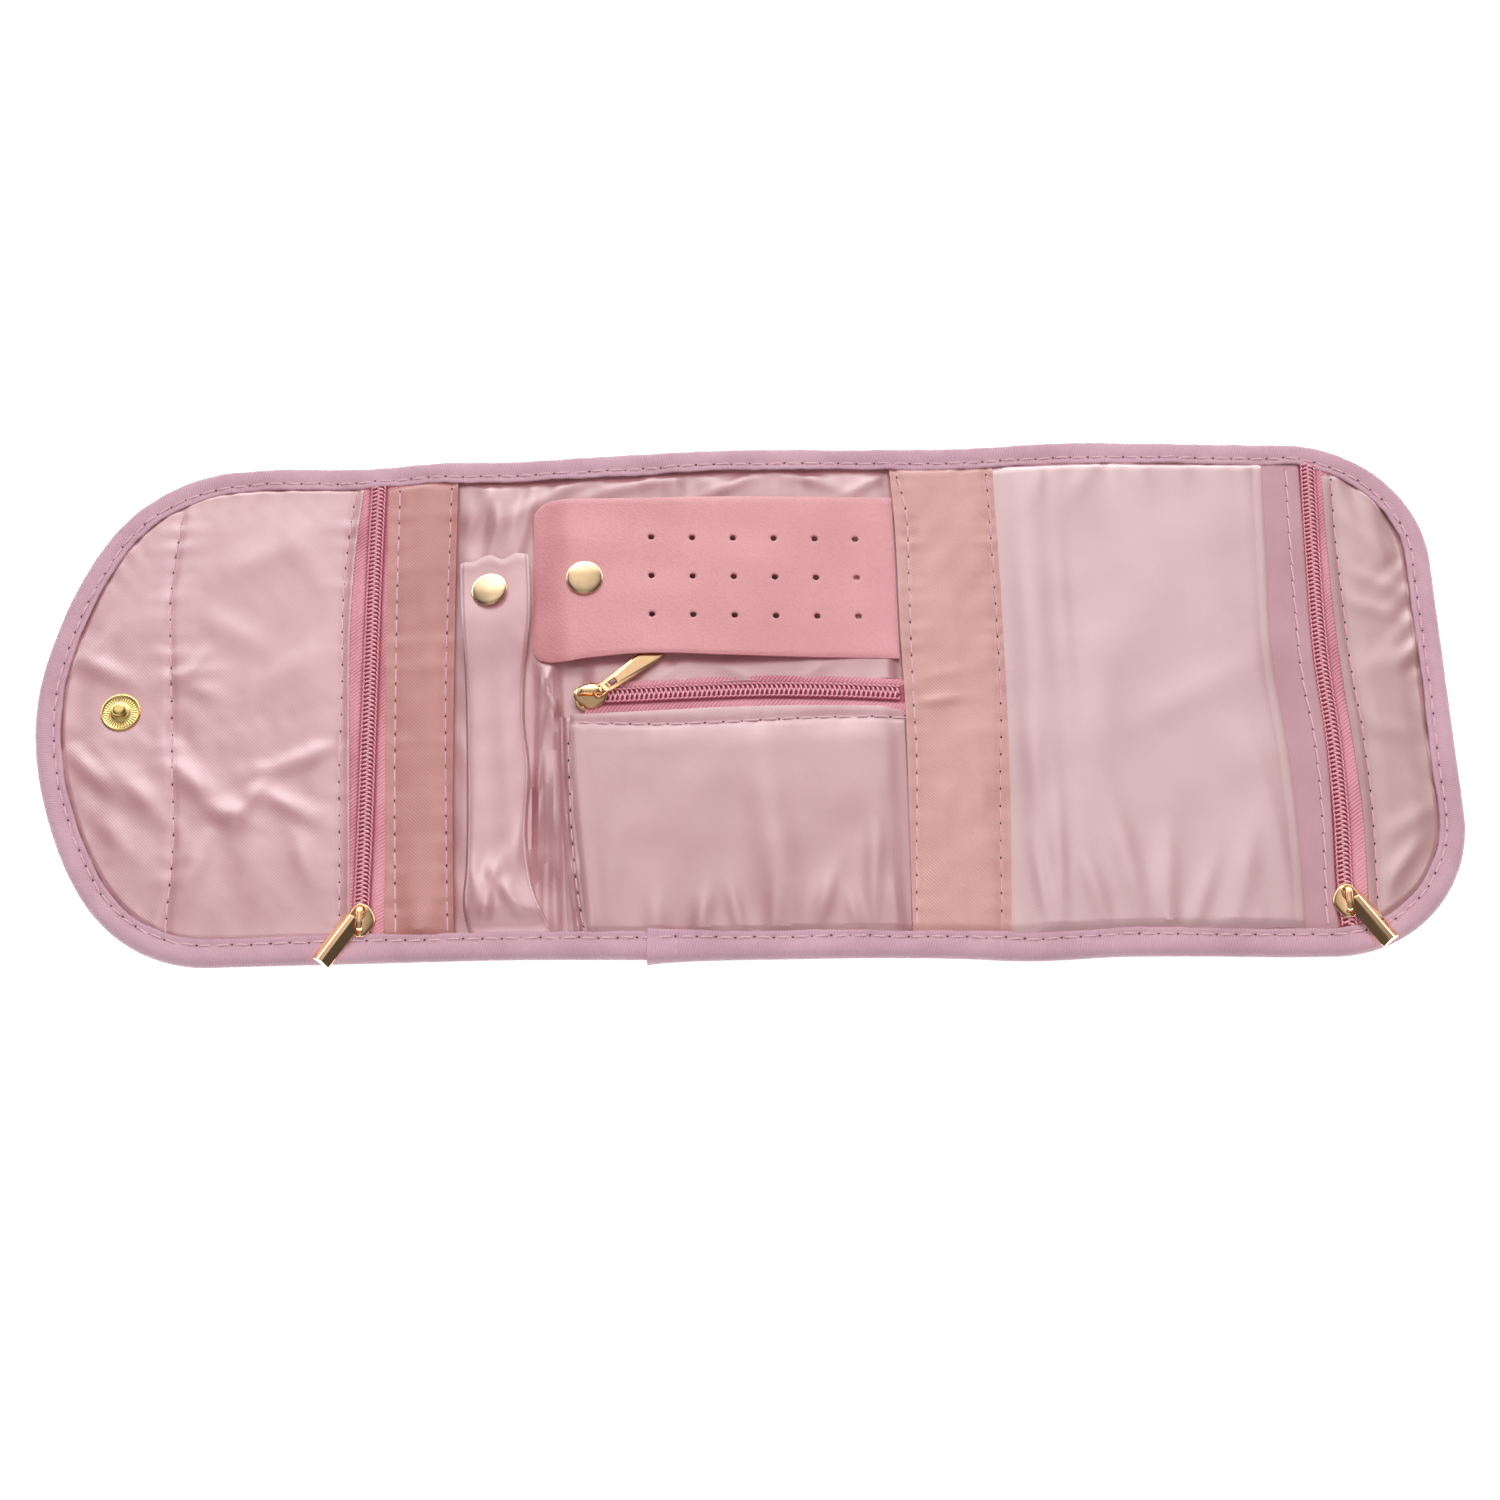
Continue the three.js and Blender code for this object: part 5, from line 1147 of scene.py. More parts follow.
def small_pocket():
    """Face, side strip, and their rows of stitches."""
    y_low, y_top, x_right = -(HALF_DEPTH - PANEL_INSET), -3.0, 43.4
    x, y = between(POCKET_LINE_LEFT, ((-71.0, x_right), (y_top, x_right)), y_low, y_top, 0.9)
    y = y + (through(x, POCKET_TOP) - y_top) * ease((y + 30) / 27)
    cloth("small_pocket_satin", x, y, pocket_height(x, y), "center", POCKET_SATIN, "satin",
          ("small_pocket_face",), thick=0.42)
    inner = tuple((k[0], k[1] + 2.2) for k in POCKET_LINE_LEFT)
    x, y = between(SIDE_STRIP_LEFT, inner, y_low, -3.9, 0.6)
    cloth("pocket_side_strip", x, y, side_height(x, y), "center", POCKET_SATIN, "satin",
          ("small_pocket_side",), thick=0.6)
    row("pocket_top_stitches", POCKET_STITCH, pocket_height, "center")
    row("pocket_side_stitches", POCKET_SIDE_STITCH, side_height, "center", material=SHADED_THREAD)


small_pocket()


# Zips

def end_closed(path, rings):
    """Rings along a path with both ends drawn together on the path, as points and quads."""
    sides = rings.shape[1]
    first, last = (np.repeat(place[:, None], sides, 1) for place in (path[:1], path[-1:]))
    points = np.concatenate([first, rings, last])
    return points, grid_faces(len(points), sides, around_columns=True)


def tube(path, radius, sides, reference, closed=False):
    """A round tube along a path: each ring lies square to the path, its axes from the given reference."""
    step = (np.roll(path, -1, 0) - np.roll(path, 1, 0)) if closed else np.gradient(path, axis=0)
    step = step / np.linalg.norm(step, axis=1)[:, None]
    one = np.cross(step, np.array(reference, float))
    one = one / np.linalg.norm(one, axis=1)[:, None]
    two = np.cross(step, one)
    turn = np.arange(sides) * 2 * np.pi / sides
    ring = np.cos(turn)[None, :, None] * one[:, None, :] + np.sin(turn)[None, :, None] * two[:, None, :]
    rings = path[:, None, :] + ring * radius
    return (rings, grid_faces(len(path), sides, True, True)) if closed else end_closed(path, rings)


def coil_row(start, end, side):
    """One row of the coil in its own frame (along, across, up): a helix of stout wire that reaches a little
    past the middle between the other row's turns, and beside it a twisted cord whose strands stand up as
    beads."""
    turns = (end - start) / COIL_PITCH
    turn = np.linspace(0, 2 * np.pi * turns, int(turns * 14) + 1)
    along = start + COIL_PITCH * turn / (2 * np.pi)
    shift = 0 if side > 0 else np.pi
    across = side * (0.55 + 0.78 * np.cos(turn + shift))
    wire = np.stack([along, across, TAPE_TOP + 0.6 + 0.5 * np.sin(turn + shift)], 1)
    parts = [tube(wire, COIL_WIRE_RADIUS, 7, (1, 0, 0))]
    for strand in (0, np.pi):
        twist = turn / 2 + strand
        out, up = side * (1.78 + 0.16 * np.cos(twist)), TAPE_TOP + 0.72 + 0.34 * np.sin(twist)
        parts.append(tube(np.stack([along, out, up], 1), CORD_RADIUS, 6, (0, 1, 0)))
    return joined(parts)


def zip_half(name, node, width, line, upright, side, place, start, end):
    """Half a zip: its woven tape and its coil, at one side of the curved line of its teeth.
    The line is given as (along, across) knots; an upright zip runs along y, another along x."""
    def set_down(along, off):
        across = through(along, line) + off
        return (across, along) if upright else (along, across)

    u, v = sheet_grid(start - 2.2, end + 2.2, side * 0.05, side * width, 0.7)
    x, y = set_down(u, v)
    across = np.abs(v)
    ribs = 0.05 * np.cos(2 * np.pi * (across - 2.5) / 0.65) * ease((across - 2.6) / 0.3)
    trench, cord = hump(across - 2.25, -0.3, 0.4), hump(across - 3.7, 0.28, 0.9)
    top = held_down(x, y, TAPE_TOP + ribs + trench + cord)
    tape = slab(f"{name}_tape", x, y, top, 0.4, TAPE, "zip_cloth", flat=(u, v), merge=True)
    follow(tape, place)
    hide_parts(node)
    points, quads = coil_row(start, end, side)
    xs, ys = sewn(*set_down(points[:, 0], points[:, 1]))
    coil = make(f"{name}_coil", np.stack([xs, ys, points[:, 2]], -1), quads, COIL, "zip_cloth")
    follow(coil, place)


FLAP_LINE = ((-76, FLAP_ZIP_LINE), (-58, FLAP_ZIP_LINE), (-40, -100.5), (0, -100.4), (40, -100.2),
             (76, -99.7))
PANEL_LINE = ((-76, PANEL_ZIP_LINE), (-58, PANEL_ZIP_LINE), (-38, 157.4), (-16, 157.7), (6, 157.0),
              (41, 158.0), (76, 159.8))
POCKET_LINE = ((-48, POCKET_ZIP_LINE), (-36, POCKET_ZIP_LINE), (-16, 2.2), (4, 2.5), (24, 1.8), (44, 0.4))


def zips():
    """The flap's and the panel's zips run along y, the small pocket's along x."""
    end = HALF_DEPTH - BINDING_WIDTH - 0.2
    upright = (True, -end, end)
    lying = (False, POCKET_LEFT + 4.0, RIGHT_FOLD - 0.6)
    for zip_name, half, width, line, side, place, (is_upright, start, stop) in (
        ("flap", "left", 6.6, FLAP_LINE, -1, "left_spine", upright),
        ("flap", "right", 7.0, FLAP_LINE, 1, "left_spine", upright),
        ("panel", "left", 6.0, PANEL_LINE, -1, "right_panel", upright),
        ("panel", "right", 7.4, PANEL_LINE, 1, "right_panel", upright),
        ("pocket", "back", 4.4, POCKET_LINE, 1, "center", lying),
        ("pocket", "front", 6.2, POCKET_LINE, -1, "center", lying),
    ):
        zip_half(f"{zip_name}_zip_{half}", f"{zip_name}_zip_tape_{half}", width, line, is_upright, side,
                 place, start, stop)


zips()


# Ring strap

STRAP_LEFT = ((-69.5, -72.2), (-61.5, -74.2), (-47.0, -73.8), (-20.0, -74.0), (12.0, -75.0), (30.0, -76.0),
              (44.0, -76.4))
STRAP_RIGHT = ((-69.5, -51.4), (-63.0, -53.0), (-55.6, -55.6), (-40.0, -57.6), (-17.6, -57.2), (-4.0, -58.6),
               (9.8, -58.6), (28.8, -57.2), (44.0, -57.8))
STRAP_FRONT = -69.5
STRAP_FOLDS = (
    (-63, -14, 93, 30, 2.6, 0.5), (-68, -20, 92, 30, 3.0, -0.4), (-71.5, -34, 88, 20, 2.2, 0.35),
    (-60, -42, 80, 14, 2.2, 0.5), (-66, -50, 62, 9, 2.4, 0.8), (-71, -55, 104, 9, 2.2, 0.7),
    (-62, -58, 122, 8, 2.0, 0.8), (-68, -61, 80, 7, 1.6, 0.7), (-60, 18, 125, 10, 1.8, 0.6),
    (-70, 14, 80, 14, 3.0, -0.3), (-66, 2, 60, 12, 3.0, 0.35),
)


def ring_strap():
    """A flat satin tube: across it the upper side is a flattened arch with folds, the under side flat. The
    back end lies raised on its snap, the front end goes down under the binding, and both ends are pressed
    shut. v runs from 0 in front to 1 behind, q from -1 at the left to 1 at the right."""
    rows, columns = 120, 46
    v = np.linspace(0, 1, rows)[:, None]
    q = np.linspace(-1, 1, columns)[None, :]
    left, right = (through(STRAP_FRONT + 113.5 * v, line) for line in (STRAP_LEFT, STRAP_RIGHT))
    x = left + (right - left) * (q + 1) / 2
    ragged = 1.0 + 1.4 * ease((x + 66) / 12) - 1.5 * ease((-70 - x) / 4) + 0.35 * ripple(x, 0 * x, 5, 71)
    y = STRAP_FRONT + 112.0 * v + 0 * q
    y = y + ragged * ease((v - 0.9) / 0.1)
    lifted = ease((y - 2) / 24)
    under = 3.55 + 3.35 * lifted
    full = 2.3 * (1 - lifted) + 0.7 * lifted
    folds = ridges(x, y, STRAP_FOLDS) * (0.5 + 0.6 * ease((-30 - y) / 20)) * (1 - 0.85 * lifted)
    rims = hump(np.abs(q) - 0.9, 0.16, 0.05)
    arch = (1 - np.abs(q) ** 9) ** 0.5
    tuck = ease((-61 - y) / 6)
    from_snap = distance_from(STRAP_SNAP, x, y)
    top = under + 0.35 + (full + folds + rims) * arch * (1 - 0.75 * tuck) + 0.05 * ripple(x, y, 14, 72) * arch
    top = top + hump(v - 0.985, 0.22, 0.012) - hump(from_snap, 0.25, 6)
    top = np.minimum(top, 8.0 + 0.4 * np.clip(from_snap / 9, 0, 1))
    top = np.maximum(top, under + 0.4)
    lower = np.stack([x, y, under], -1)[:, ::-1][:, 1:-1]
    points = np.concatenate([np.stack([x, y, top], -1), lower], 1)
    points = np.stack([*sewn(points[..., 0], points[..., 1]), points[..., 2]], -1)
    shut = [points[[k]] for k in (0, -1)]
    for ring in shut:
        ring[..., 2] = (ring[0, columns // 2, 2] + ring[0, columns + columns // 2 - 2, 2]) / 2
    points = np.concatenate([shut[0], points, shut[1]])
    quads = grid_faces(rows + 2, points.shape[1], around_columns=True)
    uv = points[..., :2].reshape(-1, 2) / UV_UNIT
    piece = make("ring_strap_satin", points.reshape(-1, 3), quads, SATIN, "satin", uv=uv)
    follow(piece, "ring_strap")
    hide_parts("ring_strap")


ring_strap()


# Earring flap

EARRING_BACK = ((-57.0, 61.3), (-30.0, 61.0), (-10.0, 60.8), (20.0, 60.2), (44.0, 59.4))
EARRING_FRONT = ((-57.0, 11.6), (-50.0, 11.2), (-40.0, 12.2), (-28.0, 13.0), (-5.0, 12.2), (20.0, 10.8),
                 (44.0, 9.6))
EARRING_LEFT, EARRING_RIGHT = -56.6, 43.0
EARRING_LOW, EARRING_HIGH = 11.4, 60.9
EARRING_CORNER = 5.0
LEATHER_THICK = 1.0
HOLE_FIRST = (-24.0, 48.4)
HOLE_PITCH = (11.25, 11.9)
HOLE_DRIFT = -0.4
HOLE_RADIUS = 0.85
# A hole's block of cells: its half side, and the cells along a side
HOLE_BLOCK, BLOCK_CELLS = 2, 4
# The rings down through a hole, each a radius and how far it lies below the sheet's top
HOLE_RIM = HOLE_RADIUS + 0.18
HOLE_PROFILE = (
    (1.35, 0.0), (HOLE_RIM, 0.03), (HOLE_RADIUS, 0.2), (HOLE_RADIUS, LEATHER_THICK - 0.2),
    (HOLE_RIM, LEATHER_THICK), (1.35, LEATHER_THICK),
)


def lattice_lines(low, high, holes):
    """Places of a lattice's lines from low to high, with BLOCK_CELLS equal cells over each hole, and the
    number of the line at which each hole's block starts."""
    edges = sorted([low, high] + [h - HOLE_BLOCK for h in holes] + [h + HOLE_BLOCK for h in holes])
    lines, starts, count = [np.array([edges[0]])], {}, 0
    for a, b in zip(edges[:-1], edges[1:]):
        steps = max(2, int(np.ceil((b - a) / 1.1)))
        if any(abs((a + b) / 2 - h) < 1e-6 for h in holes):
            steps = BLOCK_CELLS
            starts[round((a + b) / 2, 3)] = count
        lines.append(np.linspace(a, b, steps + 1)[1:])
        count += steps
    return np.concatenate(lines), starts


def leather_place(x, y):
    """The flat lattice to the real sheet: rows drift down to the right with the holes and follow the edges
    near them, the left corners are rounded, the left end curls down, and the right end slopes down to its
    seam."""
    back, front = through(x, EARRING_BACK), through(x, EARRING_FRONT)
    share = (y - EARRING_LOW) / (EARRING_HIGH - EARRING_LOW)
    drift = HOLE_DRIFT * (x - HOLE_FIRST[0]) / HOLE_PITCH[0]
    edge = np.clip(np.abs(2 * share - 1), 0, 1) ** 4
    ys = (y + drift) * (1 - edge) + (front + (back - front) * share) * edge
    up = np.clip(np.maximum(ys - (back - EARRING_CORNER), front + EARRING_CORNER - ys), 0, EARRING_CORNER)
    pushed = EARRING_CORNER - np.sqrt(np.maximum(EARRING_CORNER**2 - up**2, 0))
    xs = x + pushed * np.clip(1 - (x - EARRING_LEFT) / 12, 0, 1)
    down = 3.3 * ease((xs + 10.0) / 54.0) ** 1.3
    # Moved back by the cotangent of the camera's elevation, a lowered point keeps its place in the picture
    ys = ys + 0.445 * down
    curl = 3.0 * ease((-46.0 - xs) / 11.0)
    sag = 0.22 * np.sin((xs + 50) / 13.0) * (1 - share) + 0.12 * np.sin(xs / 17) * share
    dent = hump(distance_from(EARRING_SNAP, xs, ys), 0.45, 6.5)
    top = 7.95 - down - curl + sag * ease((30 - xs) / 10) - dent + 0.06 * ripple(xs, ys, 18, 81)
    return xs, ys, top


def earring_flap():
    """The leather-look sheet. A grid has its lines set so that each hole takes a block of cells, which a
    polar patch fills from the block's border to the round hole, down through it and out to the block
    below."""
    hole_x = HOLE_FIRST[0] + HOLE_PITCH[0] * np.arange(6)
    hole_y = HOLE_FIRST[1] - HOLE_PITCH[1] * np.arange(3)
    gx, x_starts = lattice_lines(EARRING_LEFT, EARRING_RIGHT, hole_x)
    gy, y_starts = lattice_lines(EARRING_LOW, EARRING_HIGH, sorted(hole_y))
    grid_x, grid_y = np.meshgrid(gx, gy, indexing="ij")
    rows, columns = grid_x.shape
    total = rows * columns
    index = np.arange(total).reshape(rows, columns)
    border = on_border(grid_x.shape)
    x, y, z = leather_place(grid_x, grid_y)
    low = z - LEATHER_THICK
    points = [np.stack([x, y, height], -1).reshape(-1, 3)
              for height in (np.where(border, z - 0.25, z), np.where(border, low + 0.25, low))]
    whole = np.ones((rows - 1, columns - 1), bool)
    loops = []
    for cx in hole_x:
        for cy in hole_y:
            i, j = x_starts[round(cx, 3)], y_starts[round(cy, 3)]
            whole[i:i + BLOCK_CELLS, j:j + BLOCK_CELLS] = False
            loops.append((cx, cy, border_loop(index[i:i + BLOCK_CELLS + 1, j:j + BLOCK_CELLS + 1])))
    faces = grid_faces(rows, columns)[whole.ravel()]
    rim = border_loop(index)
    quads = [faces, faces[:, ::-1] + total, ring_faces(rim, rim + total)[:, [0, 3, 2, 1]]]
    start = 2 * total
    for cx, cy, loop in loops:
        angle = np.arctan2(grid_y.ravel()[loop] - cy, grid_x.ravel()[loop] - cx)
        previous = loop
        for radius, below in HOLE_PROFILE:
            x, y, z = leather_place(cx + radius * np.cos(angle), cy + radius * np.sin(angle))
            points.append(np.stack([x, y, z - below], 1))
            here = start + np.arange(len(loop))
            quads.append(ring_faces(previous, here))
            previous = here
            start += len(loop)
        quads.append(ring_faces(previous, loop + total))
    piece = make("earring_flap_leather", np.concatenate(points), np.concatenate(quads), LEATHER,
                 "leather_look")
    follow(piece, "earring_flap")
    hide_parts("earring_flap")


earring_flap()


# Gold fittings

def lathe(profile, sides=56, ribs=None):
    """A turned shape: a (radius, height) profile spun round the z axis. ribs(radius, angle) adds height."""
    profile = np.array(profile, float)
    turn = np.arange(sides) * 2 * np.pi / sides
    r, z = profile[:, 0][:, None], profile[:, 1][:, None]
    lift = ribs(r, turn[None, :]) if ribs else 0
    points = np.stack([r * np.cos(turn), r * np.sin(turn), z + lift + 0 * turn], -1)
    return points, grid_faces(len(profile), sides, around_columns=True)


def smooth_profile(profile, each=3):
    """A profile with extra points on the smooth curve through it, `each` to a stretch."""
    last = len(profile) - 1
    return smooth_curve(profile, np.linspace(0, last, last * each + 1))


def moved(points, origin, degrees=0.0, tilt=(0.0, 0.0), pivot=0.0):
    """Points turned about z, tilted about x and y at the height pivot, and moved to origin."""
    turn = Matrix.Rotation(np.radians(tilt[1]), 3, "Y") @ Matrix.Rotation(np.radians(tilt[0]), 3, "X")
    turn = np.array(turn @ Matrix.Rotation(np.radians(degrees), 3, "Z"))
    up = np.array([0, 0, pivot])
    return (points - up) @ turn.T + up + np.array([origin[0], origin[1], 0])


def fitting(name, parts, material, body, node, sharp=35):
    """A metal piece made of closed parts, riding on its body in place of its CAD node."""
    points, quads = joined(parts)
    piece = make(name, points, quads, material, "rose_gold", sharp=sharp)
    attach(piece, body)
    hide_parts(node)
    return piece


def node_centre(node):
    """The middle of a node, seen from above."""
    low, high = limits(node)
    return (low[:2] + high[:2]) / 2


# Height of the rings' plane and of the height about which the strap's cap tilts
RING_HEIGHT = 7.6
CAP_TILT_HEIGHT = 8.0
# Along a slider from its middle to the ring's pivot, and along a ring from there to the bar's own pivot
RING_PIVOT = 2.45
BAR_PIVOT = 3.2
BAR_LEAN = -5

CAP_PROFILE = ((0, 9.5), (1.5, 9.46), (3.0, 9.33), (3.9, 9.2), (4.5, 9.04), (4.88, 8.8), (4.98, 8.6),
               (4.85, 8.22), (4.45, 8.02), (3.9, 7.98), (2.2, 7.98), (1.4, 7.9), (1.3, 7.2), (1.3, 6.5),
               (0, 6.5))
STUD_PROFILE = ((0, 8.3), (1.2, 8.28), (1.75, 8.05), (2.05, 7.65), (2.0, 7.25), (1.65, 6.9), (1.6, 6.3),
                (1.8, 5.85), (2.3, 5.72), (2.7, 5.56), (3.1, 5.46), (3.6, 5.44), (4.1, 5.45), (4.5, 5.5),
                (4.95, 5.72), (5.3, 5.6), (5.4, 5.3), (5.3, 5.02), (4.8, 4.95), (0, 4.95))


def stud_ribs(r, turn):
    """Radial ribs pressed into the stud's dish."""
    return 0.07 * np.cos(36 * turn) * ease((r - 2.6) / 0.4) * ease((4.7 - r) / 0.3)


def caps_and_stud():
    """The two snap caps, each tilted a little, and the ribbed closure stud on the flap."""
    for name, node, body, tilt in (
        ("ring_strap_cap", "ring_strap_snap_cap", "ring_strap", (-5, -9)),
        ("earring_flap_cap", "earring_flap_snap_cap", "earring_flap", (1, 2)),
    ):
        points, quads = lathe(smooth_profile(CAP_PROFILE))
        points = moved(points, node_centre(node), tilt=tilt, pivot=CAP_TILT_HEIGHT)
        fitting(name, [(points, quads)], CAP_GOLD, body, node)
    points, quads = lathe(smooth_profile(STUD_PROFILE), 288, stud_ribs)
    points = moved(points, node_centre("flap_snap_stud"))
    fitting("closure_stud", [(points, quads)], BRASS, "flap", "flap_snap_stud")


def superellipse(a, b, power, count, x=0.0):
    """Points of |x / a|^power + |y / b|^power = 1 by their angle, about a place along x."""
    turn = np.arange(count) * 2 * np.pi / count
    sides = ((a, np.cos(turn)), (b, np.sin(turn)))
    return np.stack([half * np.sign(w) * np.abs(w) ** (2 / power) for half, w in sides], 1) + [x, 0]


def plate(shape, levels, x=0.0):
    """A closed plate about a place along x: rings of the outline scaled about its middle, each at its height;
    scale 0 closes a face. A level's height may be an array over the outline's points."""
    rings = [np.column_stack([shape * scale, np.zeros(len(shape)) + z]) + [x, 0, 0] for scale, z in levels]
    return np.stack(rings), grid_faces(len(levels), len(shape), around_columns=True)


def bent_strip(path, ring):
    """A closed strip whose outline is carried along a path in the xz plane: its first axis lies across, its
    second square to the path."""
    step = np.gradient(path, axis=0)
    step /= np.linalg.norm(step, axis=1)[:, None]
    out = np.stack([-step[:, 2], 0 * step[:, 0], step[:, 0]], 1)
    across = np.array([0, 1.0, 0])
    rings = path[:, None, :] + ring[None, :, 0, None] * across + ring[None, :, 1, None] * out[:, None, :]
    return end_closed(path, rings)


def slider_parts():
    """A zip slider in its own frame, x along the zip: the domed top plate with its side flanges, the base
    plate, the post between them and the long bridge over the top."""
    shape = superellipse(4.5, 3.85, 4.5, 72)
    to_tail, to_nose = np.clip((-shape[:, 0] - 0.5) / 4.0, 0, 1), np.clip((shape[:, 0] - 0.9) / 3.6, 0, 1)
    shape[:, 1] *= 1 - 0.58 * to_tail - 0.42 * to_nose
    skirt = 6.0 - 1.2 * ease((np.abs(shape[:, 1]) - 2.2) / 1.0)
    roof = 1.1 * (np.abs(shape[:, 1]) / 3.85) ** 1.2
    top = plate(shape, ((0, 6.95), (0.25, 6.95 - roof * 0.16), (0.5, 6.95 - roof * 0.41),
                        (0.75, 6.93 - roof * 0.69), (0.9, 6.88 - roof * 0.87), (0.97, 6.76 - roof),
                        (1, 6.55 - roof), (1, skirt + 0.1), (0.985, skirt), (0.9, skirt),
                        (0.885, skirt + 0.1), (0.87, 6.0), (0, 6.0)))
    base = plate(superellipse(4.3, 3.7, 2.7, 48),
                 ((0, 3.9), (0.93, 3.9), (1, 3.75), (1, 3.5), (0.95, 3.4), (0, 3.4)))
    post = plate(superellipse(0.9, 0.5, 3, 16), ((0, 3.8), (1, 3.8), (1, 6.1), (0, 6.1)), x=3.0)
    turn = np.linspace(0, np.pi, 25)
    arch = np.stack([-3.1 * np.sign(np.cos(turn)) * np.abs(np.cos(turn)) ** 0.55, 0 * turn,
                     6.3 + 2.85 * np.sin(turn) ** 0.5], 1)
    return [top, base, post, bent_strip(arch, superellipse(0.85, 0.4, 2.4, 20))]


def ring_parts():
    """The link between slider and pull: a round wire bent to a rounded rectangle, x towards the pull."""
    shape = superellipse(2.3, 1.45, 3.0, 44, x=0.88)
    return [tube(np.column_stack([shape, RING_HEIGHT + 0 * shape[:, 0]]), 0.37, 10, (0, 0, 1), closed=True)]


def bar_parts():
    """The bar pull, x along it: two broad faces meet at a narrow flat ridge, the ends are cut square with a
    small chamfer, and a tongue wraps the ring. The near end lies BAR_LEAN degrees higher than the far one."""
    half = [(0.55, 1.8), (0.75, 1.7), (1.5, 0.98), (2.4, 0.2), (2.6, 0.0), (2.58, -0.25), (2.4, -0.35)]
    section = np.array([(0.0, 1.8), *half, (0.0, -0.35), *[(-y, z) for y, z in half[::-1]]])
    middle = np.array([0, 0.5])
    ends = ((2.9, 0), (2.9, 0.93), (3.05, 0.985), (3.4, 1), (16.7, 1), (17.0, 0.985), (17.1, 0.93), (17.1, 0))
    rings = [np.column_stack([np.full(len(section), x), (section - middle) * scale + middle])
             for x, scale in ends]
    bar = (np.stack(rings), grid_faces(len(rings), len(section), around_columns=True))
    turn = np.linspace(-np.pi * 0.86, np.pi * 0.86, 26)
    loop = np.stack([BAR_PIVOT - 0.68 * np.cos(turn), 0 * turn, 0.68 * np.sin(turn)], 1)
    loop = np.concatenate([[[4.6, 0, -0.22]], loop, [[4.6, 0, 0.22]]])
    tongue = bent_strip(loop, superellipse(0.75, 0.22, 4, 16))
    c, s = np.cos(np.radians(BAR_LEAN)), np.sin(np.radians(BAR_LEAN))

    def leaning(points):
        """Points leant about the bar's pivot and raised to the ring's height."""
        along, y, up = points[..., 0] - BAR_PIVOT, points[..., 1], points[..., 2]
        return np.stack([BAR_PIVOT + along * c + up * s, y, RING_HEIGHT + along * s + up * c], -1)

    return [(leaning(points), quads) for points, quads in (bar, tongue)]


def tab_parts():
    """The flat pull, x along it: a tapered tab with rounded corners round a slot, its edges chamfered. Its
    near end lies 1.35 higher over the slider, and from there it sinks as (1 - u)^2."""
    near_end = 1.2
    outer = superellipse(10.2, 2.05, 5.5, 96, x=11.4)
    outer[:, 1] *= 0.88 + 0.02 * (outer[:, 0] - near_end)
    slot = superellipse(1.7, 0.85, 5.5, 96, x=4.3)
    rings = []
    for share, z in ((0, 6.08), (0, 6.68), (0.03, 6.8), (0.9, 6.8), (0.97, 6.72), (1, 6.6), (1, 6.2),
                     (0.97, 6.05), (0.03, 6.0)):
        flat = slot + (outer - slot) * share
        rise = 1.35 * (1 - np.clip((flat[:, :1] - near_end) / 16, 0, 1)) ** 2
        rings.append(np.concatenate([flat, z + rise], 1))
    return [(np.stack(rings), grid_faces(len(rings), 96, True, True))]


def zip_fittings():
    """Three sliders with their rings and pulls. The pulls swing about the ring's pivot in plan."""
    for zip_name, degrees, swing, pull, ring_body in (
        ("flap", 90, -126, bar_parts, "flap_ring"),
        ("panel", 90, -54, bar_parts, "panel_ring"),
        ("pocket", 0, 39, tab_parts, "pocket_pull"),
    ):
        slider_node = f"{zip_name}_zip_slider"
        centre = node_centre(slider_node)
        along = np.array([np.cos(np.radians(degrees)), np.sin(np.radians(degrees))])
        pivot = centre + along * RING_PIVOT
        for piece, parts, place, turn, body, node, sharp in (
            ("slider", slider_parts(), centre, degrees, f"{zip_name}_slider", slider_node, 35),
            ("ring", ring_parts(), pivot, swing, ring_body, f"{zip_name}_zip_ring", 60),
            ("pull", pull(), pivot, swing, f"{zip_name}_pull", f"{zip_name}_zip_pull", 25),
        ):
            placed = [(moved(points, place, turn), quads) for points, quads in parts]
            fitting(f"{zip_name}_{piece}_gold", placed, ROSE_GOLD, body, node, sharp)


caps_and_stud()
zip_fittings()

# CAD pieces that stay: the snaps' inner halves and the outside cap
for name in ("flap_snap_cap", "ring_strap_snap_stud", "earring_flap_snap_stud", "ring_strap_snap_socket",
             "earring_flap_snap_socket", "right_panel_snap_socket", "right_panel_snap_backing"):
    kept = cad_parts[name]
    kept.data.materials.clear()
    kept.data.materials.append(CAP_GOLD)

# Camera, where the photograph was taken from: a distance and turns about a point on the pouch's upper face
CAMERA_DISTANCE = 761.5
CAMERA_TARGET = (1.718, -15.103, 4.7)
CAMERA_ELEVATION = 66.0
CAMERA_YAW = 0.802
CAMERA_ROLL = -0.617
SENSOR_WIDTH = 36
FOCAL_PIXELS = 2847.6
PHOTO_PIXELS = 1500


